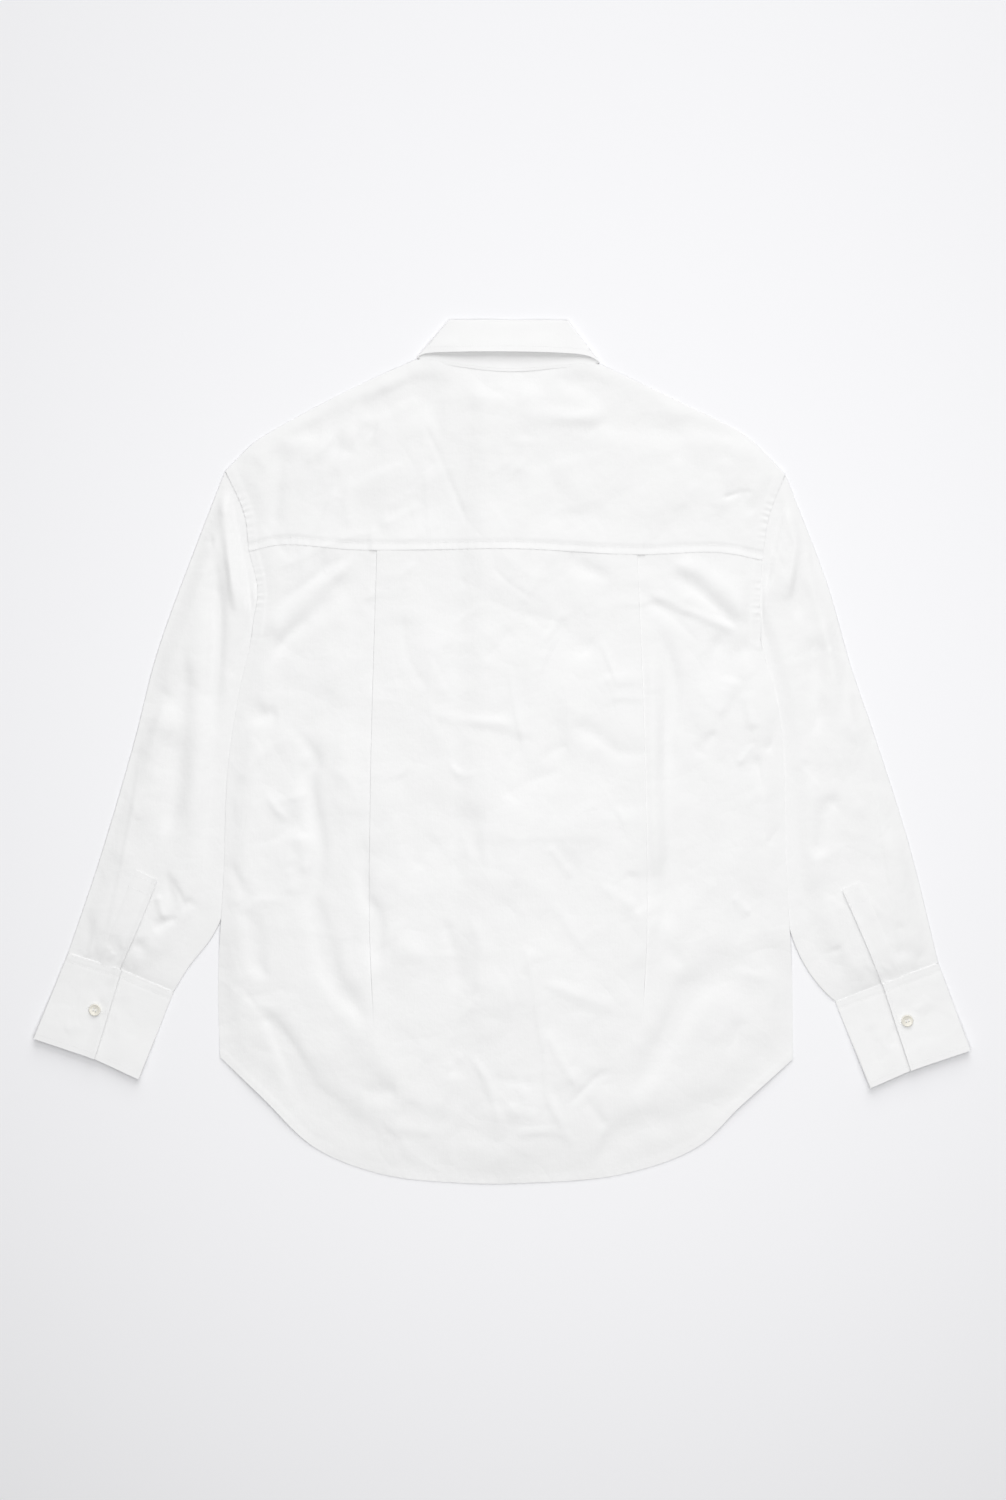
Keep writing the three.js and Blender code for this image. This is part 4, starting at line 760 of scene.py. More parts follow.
def shell_faces(rows: int, cols: int, under: int, ring: bool, keep: np.ndarray | None) -> tuple[list, int]:
    """Faces of a closed wall: the fine side, the plainer other side, and the rim.

    Args:
        rows: rows of the fine side.
        cols: columns of both sides.
        under: the other side keeps one row of this many.
        ring: whether each row closes on itself.
        keep: which faces of the grid are there, for under = 1.

    Returns:
        The list of faces, and how many of them aren't rim.
    """
    fine = np.arange(rows * cols).reshape(rows, cols)
    other = rows * cols + np.arange(((rows - 1) // under + 1) * cols).reshape(-1, cols)
    top = quads_of(fine, ring, keep)
    low = quads_of(other, ring, keep)[:, ::-1]
    faces = top.tolist() + low.tolist()
    inner = len(faces)
    if under == 1:
        edges = np.concatenate([top[:, [k, (k + 1) % 4]] for k in range(4)])
        code = edges[:, 0] * (rows * cols) + edges[:, 1]
        back = edges[:, 1] * (rows * cols) + edges[:, 0]
        for a, b in edges[~np.isin(code, back)].tolist():
            faces.append([b, a, a + rows * cols, b + rows * cols])
        return faces, inner
    for r, s, flip in ((0, 0, False), (rows - 1, len(other) - 1, True)):
        for c in range(cols if ring else cols - 1):
            a, b = (c, (c + 1) % cols) if not flip else ((c + 1) % cols, c)
            faces.append([int(fine[r, b]), int(fine[r, a]), int(other[s, a]), int(other[s, b])])
    if not ring:
        for k in range(len(other) - 1):
            run = [int(v) for v in fine[k * under:(k + 1) * under + 1, 0]]
            faces.append(run + [int(other[k + 1, 0]), int(other[k, 0])])
            run = [int(v) for v in fine[k * under:(k + 1) * under + 1, -1]]
            faces.append(run[::-1] + [int(other[k, -1]), int(other[k + 1, -1])])
    return faces, inner


SHARP_ANGLE = 75.0         # degrees: a steeper edge of a piece stays crisp


def make_piece(name: str, verts: np.ndarray, faces: list, material: Material,
               inner: int | None = None) -> Piece:
    """Adds one mesh object at the origin.

    Args:
        name: the piece's name.
        verts: points in millimetres.
        faces: corner numbers of each face.
        material: what it is made of.
        inner: faces after this one are rim and keep their edges crisp.

    Returns:
        The object.
    """
    mesh = bpy.data.meshes.new(name)
    mesh.from_pydata((verts * MM).tolist(), [], faces)
    mesh.update()
    count = len(mesh.polygons)
    flat = np.zeros(count, bool)
    if inner is not None:
        flat[inner:] = True
    mesh.polygons.foreach_set("use_smooth", ~flat)
    if inner is not None:
        mesh.set_sharp_from_angle(angle=math.radians(SHARP_ANGLE))
    mesh.materials.append(material)
    piece = bpy.data.objects.new(name, mesh)
    bpy.context.scene.collection.objects.link(piece)
    log.info("%s: %d corners, %d faces", name, len(verts), count)
    return piece


def signed_volume(verts: np.ndarray, faces: list) -> float:
    """Volume inside closed faces, negative where they face in."""
    total = 0.0
    for size in {len(f) for f in faces}:
        group = np.array([f for f in faces if len(f) == size])
        for k in range(1, size - 1):
            a, b, c = (verts[group[:, j]] for j in (0, k, k + 1))
            total += float(np.sum(a * np.cross(b, c))) / 6
    return total


def make_shell(name: str, grid: np.ndarray, wall: float, material: Material, *, ring: bool = False,
               keep: np.ndarray | None = None, under: int = 1, up: bool = True) -> Piece:
    """Adds a thin closed wall of cloth about a grid of middle points.

    Args:
        name: the piece's name.
        grid: middle points, rows by columns by xyz.
        wall: thickness.
        material: what it is made of.
        ring: whether each row closes on itself.
        keep: which faces of the grid are there.
        under: the plainer side keeps one row of this many.
        up: the fine side is the upper one, where the grid isn't a ring.

    Returns:
        The object.
    """
    rows, cols = grid.shape[:2]
    normal = grid_normals(grid, ring)
    turned = signed_area(grid) < 0 if ring else (normal[..., 2].mean() < 0) == up
    if turned:
        normal = -normal
    fine = (grid + normal * wall / 2).reshape(-1, 3)
    plain = grid - normal * wall / 2
    if under > 1:
        padded = np.pad(plain[..., 2], ((under - 1, under - 1), (0, 0)), mode="edge")
        lowest = np.min([padded[k:k + rows] for k in range(2 * under - 1)], axis=0)
        plain[..., 2] = np.where(normal[..., 2] > 0.3, lowest, plain[..., 2])
    other = plain[::under].reshape(-1, 3)
    verts = np.vstack([fine, other])
    faces, inner = shell_faces(rows, cols, under, ring, keep)
    if signed_volume(verts, faces) < 0:
        faces = [f[::-1] for f in faces]
    return make_piece(name, verts, faces, material, inner)


def signed_area(grid: np.ndarray) -> float:
    """Which way a ring grid's normals face: positive where they face out of it."""
    middle = grid.mean(axis=1, keepdims=True)
    return float(np.sum(grid_normals(grid, True) * (grid - middle)))


def surface_of(piece: Piece) -> BVHTree:
    """Returns a search tree of a piece's faces, in metres."""
    mesh = piece.data
    return BVHTree.FromPolygons([v.co for v in mesh.vertices], [p.vertices for p in mesh.polygons])


def drop(trees: Sequence[BVHTree], x: np.ndarray, y: np.ndarray) -> np.ndarray:
    """Highest surface at points seen from above, in millimetres."""
    tops = []
    for px, py in zip(np.ravel(x), np.ravel(y)):
        best = 0.0
        for tree in trees:
            hit = tree.ray_cast(Vector((px * MM, py * MM, 0.2)), Vector((0, 0, -1)))
            if hit[0] is not None:
                best = max(best, hit[0].z / MM)
        tops.append(best)
    return np.array(tops).reshape(np.shape(x))


# ------------------------------------------------------------------ cloth pieces
def row_height(left: np.ndarray, right: np.ndarray, top_line: Line, top: float, hem: float) -> Callable:
    """A row across the body: a chord bowed towards a top line and towards the hem."""
    def height(x: Values) -> Values:
        """Height of the row at x."""
        share = (x - left[0]) / (right[0] - left[0])
        return mix(left[1], right[1], share) + top * top_line.bow(share) + hem * E.hem.bow(share)
    return height


def at_index(line: Line, index: float) -> np.ndarray:
    """Point of a line at a point number that may fall between two."""
    return line.at(index / (len(line.p) - 1))


@dataclass
class Body:
    """The back with its two pleats, the two fronts and the front band."""

    panel: int = 66            # columns of a side panel
    centre: int = 104          # columns between the pleats
    back_rows: int = 180       # rows below the armhole
    front_rows: int = 141
    front_columns: int = 61
    band_rows: int = 161
    band_columns: int = 13
    underarm_lap: float = 1.6  # mm that the back laps over a sleeve at the underarm
    held: dict = field(default_factory=dict)

    def back_grid(self) -> np.ndarray:
        """Middle points of the back, through the three layers of both pleats."""
        panel, centre = self.panel, self.centre
        index = np.concatenate([[UNDER_YOKE], np.linspace(ARM, 2 * ARM, 37)[:-1],
                                np.linspace(2 * ARM, BODY_END, self.back_rows)])
        xs, ys, rises = [], [], []
        for i in index:
            left, right = at_index(E.body["left"], i), at_index(E.body["right"], i)
            top = max(1 - max(i - ARM, 0) / ARM, 0)
            row_y = row_height(left, right, E.yoke, top, max((i - 2 * ARM) / (BODY_END - 2 * ARM), 0) ** 2)
            halves = {}
            lap = self.underarm_lap * float(smooth(i, 72, 86) * (1 - smooth(i, 96, 104)))
            for side, edge in (("left", left), ("right", right)):
                fold = E.pleat[side].p[0][0]
                for _ in range(3):
                    fold = float(E.pleat[side].x_at(row_y(fold)))
                px, rise = pleat_path(float(row_y(fold)))
                path = fold - OUT[side] * px
                u = np.linspace(0, 1, panel + 1)[:-1]
                u = u - 0.10 * np.sin(np.pi * u)
                panel_x = mix(edge[0] + OUT[side] * lap, path[0], u)
                halves[side] = (np.concatenate([panel_x, path]), np.concatenate([0 * u, rise]))
            inner = np.linspace(halves["left"][0][-1], halves["right"][0][-1], centre + 1)[1:-1]
            x = np.concatenate([halves["left"][0], inner, halves["right"][0][::-1]])
            unset = np.full(inner.shape, np.nan)
            rises.append(np.concatenate([halves["left"][1], unset, halves["right"][1][::-1]]))
            xs.append(x)
            ys.append(row_y(x))
        x, y, rise = np.array(xs), np.array(ys), np.array(rises)
        rise = np.where(np.isnan(rise), pleat_rise(x, y), rise)
        z = upper_z(x, y) + rise
        hem_distance, _, _ = near_route(E.hem.p[::4], x, y)
        z += 0.25 * (1 - smooth(hem_distance, S.hem, S.hem + 1.5))
        z += pucker(E.hem, x, y, 9, 9, 0.30, slant=0.8) * smooth(from_side(x, y), 4, 30)
        for side in SIDES:
            strip = E.arm[side].p[ARM:]
            d, _, _ = near_route(strip[::4], x, y)
            z += pucker(Line(strip), x, y, 6.0, 6.5, 0.75) + 0.45 * (1 - smooth(d, 6.5, 9))
        z += pucker(E.yoke, x, y, 12, 14, 0.25) * smooth(E.yoke.y_at(x) - y, 0, 7) + seam_dip(x, y)
        z = np.maximum(z, S.lowest - 0.05)
        return np.stack([x, y, z], axis=-1)

    def front_top(self, side: str) -> Line:
        """The front's top line, from the armhole down the yoke seam and round the neck."""
        neckline = np.array([row[2:4] for row in COLLAR[side][:6]][::-1], float)
        return Line(np.vstack([at_index(E.body[side], ARM / 2), neckline]))

    def front_grid(self, side: str) -> np.ndarray:
        """Middle points of one front."""
        top_line = self.front_top(side)
        a, b = at_index(E.body["left"], ARM / 2), at_index(E.body["right"], ARM / 2)
        xs, ys = [], []
        for i in np.linspace(ARM / 2, BODY_END, self.front_rows):
            left, right = at_index(E.body["left"], i), at_index(E.body["right"], i)
            count = i / 12.0
            top = max(1 - (count - 2) / 7, 0)
            row_y = row_height(left, right, E.yoke, 0.0, FRONT_HEM_SHARE * max((count - 8) / 13, 0) ** 2)
            edge = left if side == "left" else right
            u = np.linspace(0, 1, self.front_columns)
            x = mix(edge[0], FRONT_EDGE[side], u)
            rise = top * (top_line.y_at(x) - mix(a[1], b[1], (x - a[0]) / (b[0] - a[0])))
            y = row_y(x) + rise - 0.4 * top
            y[0] = edge[1]
            xs.append(x)
            ys.append(y)
        x, y = np.array(xs), np.array(ys)
        z = lower_z(x, y) + (underlap(x, y) if side == "left" else 0)
        wrinkle = np.clip(crease_height(FRONT_CREASES[side], x, y, 0.5) + 0.25 * undulation(x, y), 0, 0.7)
        z = z + wrinkle * smooth(from_side(x, y), 4, 30)
        return np.stack([x, y, z], axis=-1)

    def band_grid(self) -> np.ndarray:
        """Middle points of the front band."""
        foot = FRONT_HEM_Y + FRONT_HEM_SHARE * float(E.hem.bow(0.5))
        y, x = np.meshgrid(np.linspace(BAND_TOP, foot, self.band_rows),
                           np.linspace(-S.band / 2, S.band / 2, self.band_columns), indexing="ij")
        x = x + S.centre
        z = S.lowest + 0.25 + band_rise(y) + 0.10 * np.clip(NOISE(x, y, 14), 0, 1) + 0 * x
        return np.stack([x, y, z], axis=-1)

    def build(self, cloth: Material, doubled: Material) -> None:
        """Makes the back, the fronts and the band."""
        self.held["back"] = make_shell("back_panel", self.back_grid(), S.cloth, cloth, under=4)
        for side in SIDES:
            grid = self.front_grid(side)
            self.held[side] = make_shell(f"front_panel_{side}", grid, S.cloth, cloth, up=False)
        self.held["band"] = make_shell("front_band_cloth", self.band_grid(), S.doubled, doubled, up=False)


@dataclass
class Yoke:
    """The yoke, which runs over both shoulders."""

    wide: int = 82             # columns of a shoulder
    neck_wide: int = 78
    tall: int = 76             # rows from the seam to the shoulder line
    wing: int = 14             # rows of the part that lies underneath
    held: dict = field(default_factory=dict)

    def grid(self) -> tuple[np.ndarray, np.ndarray]:
        """Middle points of the yoke, over the shoulders and down to the front yoke seams.

        Returns:
            The grid, and which of its faces are there.
        """
        wide, neck_wide, tall, wing = self.wide, self.neck_wide, self.tall, self.wing
        left = E.shoulder["left"].at(np.linspace(0, 1, wide + 1))
        right = E.shoulder["right"].at(np.linspace(1, 0, wide + 1))
        top = np.vstack([left, E.neck.at(np.linspace(0, 1, neck_wide + 1))[1:-1], right])
        last = len(top) - 1
        along = np.gradient(top, axis=0)
        normal = np.stack([-along[:, 1], along[:, 0]], axis=1)
        normal /= np.linalg.norm(normal, axis=1, keepdims=True)
        column = np.arange(last + 1)
        for side, end, neck in (("left", 0, wide), ("right", last, wide + neck_wide)):
            tip = E.arm[side].p[0] - E.arm[side].p[6]
            tip = tip / np.linalg.norm(tip)
            weight = np.exp(-(np.abs(column - end) / 5.0) ** 2)[:, None]
            normal = mix(normal, tip, weight)
            weight = np.exp(-(np.abs(column - neck) / 4.0) ** 2)[:, None]
            normal = mix(normal, np.array([0.0, 1.0]), weight)
        normal /= np.linalg.norm(normal, axis=1, keepdims=True)
        on_shoulder = (column <= wide) | (column >= wide + neck_wide)
        fold = np.where(on_shoulder[:, None], top - S.turn_inset * normal, top)
        share = (fold[:, 0] - fold[0, 0]) / (fold[-1, 0] - fold[0, 0])
        seam_bow = E.yoke.bow(share)
        top_bow = fold[:, 1] - mix(fold[0, 1], fold[-1, 1], share)
        tip_index = ARM * S.turn_inset / 86.0
        xs, ys = [], []
        for up in np.linspace(0, 1, tall + 1) ** 1.25:
            i = mix(float(ARM), tip_index, up)
            a, b = at_index(E.body["left"], i), at_index(E.body["right"], i)
            xs.append(mix(a[0], b[0], share))
            ys.append(mix(a[1], b[1], share) + (1 - up) * seam_bow + up * top_bow)
        x, y = np.array(xs), np.array(ys)
        above = y - E.yoke.y_at(x)
        cover = np.maximum.reduce([pleat_rise(x + d, y) for d in (-7.0, 0.0, 7.0)])
        z = upper_z(x, y) + (S.yoke_step + cover) * (1 - smooth(above, 5, 36))
        z += seam_dip(x, y) * (1 - smooth(above, 6.9, 10.5)) + 1.3 * pucker(E.yoke, x, y, 7.5, 8, 0.16)
        for side in SIDES:
            strip = E.arm[side].p[: ARM + 1]
            d, _, _ = near_route(strip[::4], x, y)
            z += pucker(Line(strip), x, y, 6.5, 6, 0.40) + 0.45 * (1 - smooth(d, 6.5, 9))
        rows = [np.stack([x[k], y[k], z[k]], axis=1) for k in range(tall + 1)]
        upper, low_z = rows[-1], lower_z(fold[:, 0], fold[:, 1])
        for angle in np.radians([65, 40, 14, -14, -40, -65]):
            radius = (upper[:, 2] - low_z) / 2
            out = upper[:, :2] + normal * (S.turn_inset - S.cloth / 2) * math.cos(angle)
            rows.append(np.column_stack([out, (upper[:, 2] + low_z) / 2 + radius * math.sin(angle)]))
        rows.append(np.column_stack([fold, low_z]))
        on_left = column <= wide + neck_wide / 2
        from_tip = np.where(on_left, column, last - column) / wide
        seam = np.zeros_like(fold)
        for side, mask in (("left", on_left), ("right", ~on_left)):
            a, b = at_index(E.body[side], ARM / 2), np.array(COLLAR[side][5][2:4], float)
            seam[mask] = mix(a, b, np.minimum(from_tip[mask], 1)[:, None])
        for k in range(1, wing + 1):
            part = k / wing
            flat = mix(fold, seam, part)
            for side, end in (("left", 0), ("right", last)):
                miss = at_index(E.body[side], mix(tip_index, ARM / 2, part)) - flat[end]
                flat = flat + miss * np.exp(-np.abs(column - end) / 6.0)[:, None]
            rows.append(np.column_stack([flat, lower_z(flat[:, 0], flat[:, 1])]))
        grid = np.array(rows)
        keep = np.ones((len(grid) - 1, last), bool)
        keep[tall:, wide:wide + neck_wide] = False
        return grid, keep

    def build(self, cloth: Material) -> None:
        """Makes the yoke."""
        grid, keep = self.grid()
        self.held["yoke"] = make_shell("yoke_cloth", grid, S.cloth, cloth, keep=keep)


@dataclass
class Sleeve:
    """One sleeve with its placket and its cuff."""

    side: str
    steps: int = 72            # columns of each layer
    rows: int = 217
    cuff_rows: int = 61
    inset: float = 1.4         # mm from a fold's outside to the end of its flat part
    seam_gap: float = 0.45     # mm between the sleeve and the seams at its ends
    underarm_run: float = 1.35 # above 1, rows lie closer at the underarm
    placket_wall: float = 0.5
    cuff_levels: tuple[float, float, float] = (0.42, 1.30, 2.18)   # middles of a cuff's layers
    inner_turn: float = 0.44   # half of the step from the lowest layer to the middle one
    inner_inset: float = 0.82  # mm from the inner fold's outside to the end of its flat part
    outer_turn: float = 0.88   # half of the step from the lowest layer to the top one
    outer_inset: float = 1.26
    cuff_lap: float = 15.0     # mm that the cuff's end runs on under the slit
    slit_rise: float = 1.5     # mm that the cuff's outer part opens at its slit
    placket_rise: float = 1.3  # mm that the placket opens at its free edge
    held: dict = field(default_factory=dict)

    def tube(self) -> np.ndarray:
        """Middle points of one sleeve: rings from the armhole to the cuff seam."""
        side, steps, rows = self.side, self.steps, self.rows
        arm = E.arm[side].p
        along = np.gradient(arm, axis=0)
        out = np.stack([along[:, 1], -along[:, 0]], axis=1) * -OUT[side]
        out /= np.linalg.norm(out, axis=1, keepdims=True)
        at = np.linspace(0, 2 * ARM, steps + 1)
        out = np.stack([np.interp(at, np.arange(2 * ARM + 1), out[:, k]) for k in (0, 1)], axis=1)
        arm = E.arm[side].at(np.linspace(0, 1, steps + 1))
        first = arm + self.seam_gap * out
        seam = np.array(CUFF_SEAM[side])
        up = seam[0] - np.array(CUFF_FREE[side][0])
        last = np.vstack([np.linspace(seam[0], seam[1], ARM + 1), np.linspace(seam[1], seam[2], ARM + 1)[1:]])
        last = last + self.seam_gap * up / np.linalg.norm(up)
        outer, inner = E.sleeve_outer[side], E.sleeve_inner[side]

        def off_chord(points: np.ndarray, share: np.ndarray) -> np.ndarray:
            """How far a line bows off its own chord, at shares of it."""
            at = Line(points).at(share)
            return at - mix(points[0], points[-1], share[:, None])

        def square(line: Line, share: float, towards: float) -> np.ndarray:
            """Direction square to a line, to one side of the sleeve."""
            run = line.at(share + 0.02) - line.at(share - 0.02)
            n = np.array([-run[1], run[0]]) / np.linalg.norm(run)
            return n * towards * np.sign(n[0])

        share = np.linspace(0, 1, steps + 1)
        fold_angles = np.radians([-65, -35, 0, 35, 65])
        grid = []
        for down in np.linspace(0, 1, rows):
            fade = max(1 - down * 16, 0)
            start = outer.at(down) + fade * (first[0] - outer.at(0.0))
            end = inner.at(down**self.underarm_run) + fade * (first[-1] - inner.at(0.0))
            if down > 0.94:
                late = float(smooth(down, 0.94, 1))
                start, end = mix(start, last[0], late), mix(end, last[-1], late)
            chord = (end - start) / np.linalg.norm(end - start)
            settled = float(smooth(down, 0, 0.2)) * (1 - float(smooth(down, 0.95, 1)))
            out0 = mix(-chord, square(outer, down, OUT[side]), settled)
            inward = square(inner, down**self.underarm_run, -OUT[side])
            out1 = mix(chord, inward, max(settled, float(down < 0.9)))
            out0, out1 = out0 / np.linalg.norm(out0), out1 / np.linalg.norm(out1)
            a, b = start - self.inset * out0, end - self.inset * out1
            flat = mix(a, b, share[:, None]) + off_chord(first, share) * (1 - down) ** 4
            flat = flat + off_chord(last, share) * down**2
            width = np.linalg.norm(end - start)
            level = smooth(width * share, 0, 20) * (1 - smooth(width * share, width - 45, width - 18))
            x, y = flat[:, 0], flat[:, 1]
            folds = crease_height(SLEEVE_CREASES[side], x, y) + 0.75 * undulation(x + 700, y)
            near_cuff = smooth(down, 0.93, 1.0)
            folds = folds + 1.1 * near_cuff * np.sin(2 * np.pi * share * 8 + 4 * NOISE(x, y, 14)) * level
            ease = mix(0.12, 1.0, float(smooth(down, 0, 0.055)) * (1 - float(smooth(down, 0.93, 1.0))))
            puff = ease * (level * S.sleeve_puff + (0.2 + 0.8 * level) * folds)
            puff = np.logaddexp(puff / 0.5, -0.8) * 0.5 * smooth(width * share, -4, 8) * (
                1 - smooth(width * share, width - 8, width + 4))
            tuck = 1 - float(smooth(down, 0.0, 0.02))
            end_share = float(smooth(down, 0.955, 1.0))
            end_level = mix(1.2, 0.55, smooth(share, 0.40, 0.50))
            top = S.lowest + mix(S.sleeve_layer + puff - 0.35 * tuck, end_level, end_share)
            middle_share = np.clip(np.sin(np.pi * share), 0, 1) ** 0.3
            over = flat - out * (1.6 * tuck * middle_share)[:, None]
            under_cuff = 2.0 * float(smooth(down, 0.985, 1.0))
            over = over - up / np.linalg.norm(up) * (under_cuff * middle_share)[:, None]
            bottom = np.full(share.shape, S.lowest)
            ring = [np.column_stack([flat, bottom])]
            for where, direction, angles in ((-1, out1, fold_angles), (0, out0, fold_angles[::-1])):
                middle, half = (top[where] + S.lowest) / 2, (top[where] - S.lowest) / 2
                reach = direction * (self.inset - 0.25)
                turn = np.array([[*(flat[where] + reach * math.cos(t)), middle + half * math.sin(t)]
                                 for t in angles])
                ring.append(turn)
                if where == -1:
                    ring.append(np.column_stack([over, top])[::-1])
            grid.append(np.vstack(ring))
        return np.array(grid)

    def placket(self, sleeve: BVHTree) -> np.ndarray:
        """Middle points of one sleeve placket, which lies on the sleeve."""
        free = curve_points(PLACKET_FREE[self.side], 60)
        inner = curve_points(PLACKET_INNER[self.side], 60)
        flat = mix(free[:, None, :], inner[:, None, :], np.linspace(0, 1, 17)[None, :, None])
        x, y = flat[..., 0], flat[..., 1]
        top = drop([sleeve], x, y)
        padded = np.pad(top, 3, mode="edge")
        level = sum(padded[3 + i:3 + i + top.shape[0], 3 + j:3 + j + top.shape[1]]
                    for i in (-3, 0, 3) for j in (-3, 0, 3)) / 9
        across = np.linspace(0, 1, 17)[None, :]
        z = np.maximum(top, level) + 0.27 + 0.12 * np.sin(np.pi * across)
        z = np.maximum(z + 0.12 * NOISE(x, y, 9), top + 0.2)
        z = z + self.placket_rise * (1 - smooth(across, 0.0, 0.22))
        return np.stack([x, y, z - 1.1 * smooth(across, 0.72, 1.0)], axis=-1)

    def cuff(self) -> np.ndarray:
        """Middle points of one cuff: its under end, inner part, round below, and the outer part on top."""
        side = self.side
        seam, free = np.array(CUFF_SEAM[side]), np.array(CUFF_FREE[side])
        low, middle, high = self.cuff_levels
        grid = []
        for down in np.linspace(0, 1, self.cuff_rows):
            outer, slit, inner = mix(seam, free, down)
            to_outer = (outer - slit) / np.linalg.norm(outer - slit)
            to_inner = (inner - slit) / np.linalg.norm(inner - slit)
            inner_end = inner - self.inner_inset * to_inner
            outer_end = outer - self.outer_inset * to_outer
            puff = 0.8 * math.sin(math.pi * down)
            rise = 5.0 * float(smooth(down, 0.1, 1.3))
            path = [[*(slit + to_outer * self.cuff_lap * (1 - t)), middle] for t in np.linspace(0, 1, 8)[:-1]]
            for t in np.linspace(0, 1, 34):
                flat = mix(slit, inner_end, t)
                path.append([*flat, middle + puff * math.sin(math.pi * min(1.4 * t, 1)) ** 2])
            for angle in np.radians([60, 25, -25, -60]):
                place = inner_end + to_inner * self.inner_turn * math.cos(angle)
                path.append([*place, low + self.inner_turn * (1 + math.sin(angle))])
            for t in np.linspace(0, 1, 16):
                path.append([*mix(inner_end, slit, t), low])
            for t in np.linspace(0, 1, 16)[1:]:
                path.append([*mix(slit, outer_end, t), low])
            for angle in np.radians([-60, -25, 25, 60]):
                place = outer_end + to_outer * self.outer_turn * math.cos(angle)
                path.append([*place, low + self.outer_turn * (1 + math.sin(angle))])
            for t in np.linspace(0, 1, 40):
                path.append([*mix(outer_end, slit, t), high + 0.35 * puff * math.sin(math.pi * t)
                             + self.slit_rise * float(smooth(t, 0.78, 1.0))])
            lifted = np.array(path)
            lifted[:, 2] += rise * mix(0.45, 1.0, smooth(lifted[:, 2], low, middle))
            grid.append(lifted)
        grid = np.array(grid)
        x, y = grid[..., 0], grid[..., 1]
        top = np.zeros(grid.shape[:2])
        top[:, :41] = 1.0
        top[:, -44:] = 1.0
        change = crease_height(CUFF_CREASES[side], x, y) + 0.22 * NOISE(x, y, 22) + 0.10 * NOISE2(x, y, 9)
        seam_line = Line(seam)
        row = seam_line.p + (np.array(free[0]) - seam[0]) / np.linalg.norm(free[0] - seam[0]) * 7.7
        d, _, _ = near_route(row, x, y)
        change = np.maximum(change, -0.35) - 0.22 * np.exp(-((d / 1.3) ** 2))
        change = change + pucker(Line(row), x, y, 6, 5, 0.12)
        grid[..., 2] += top * np.clip(change, -0.5, 1.0)
        return grid

    def build(self, cloth: Material, doubled: Material) -> None:
        """Makes the sleeve, its placket and its cuff."""
        self.held["tube"] = make_shell(f"sleeve_cloth_{self.side}", self.tube(), S.cloth, cloth, ring=True,
                                       under=4)
        grid = self.placket(surface_of(self.held["tube"]))
        self.held["placket"] = make_shell(f"placket_cloth_{self.side}", grid, self.placket_wall, doubled)
        self.held["cuff"] = make_shell(f"cuff_cloth_{self.side}", self.cuff(), S.doubled, doubled)


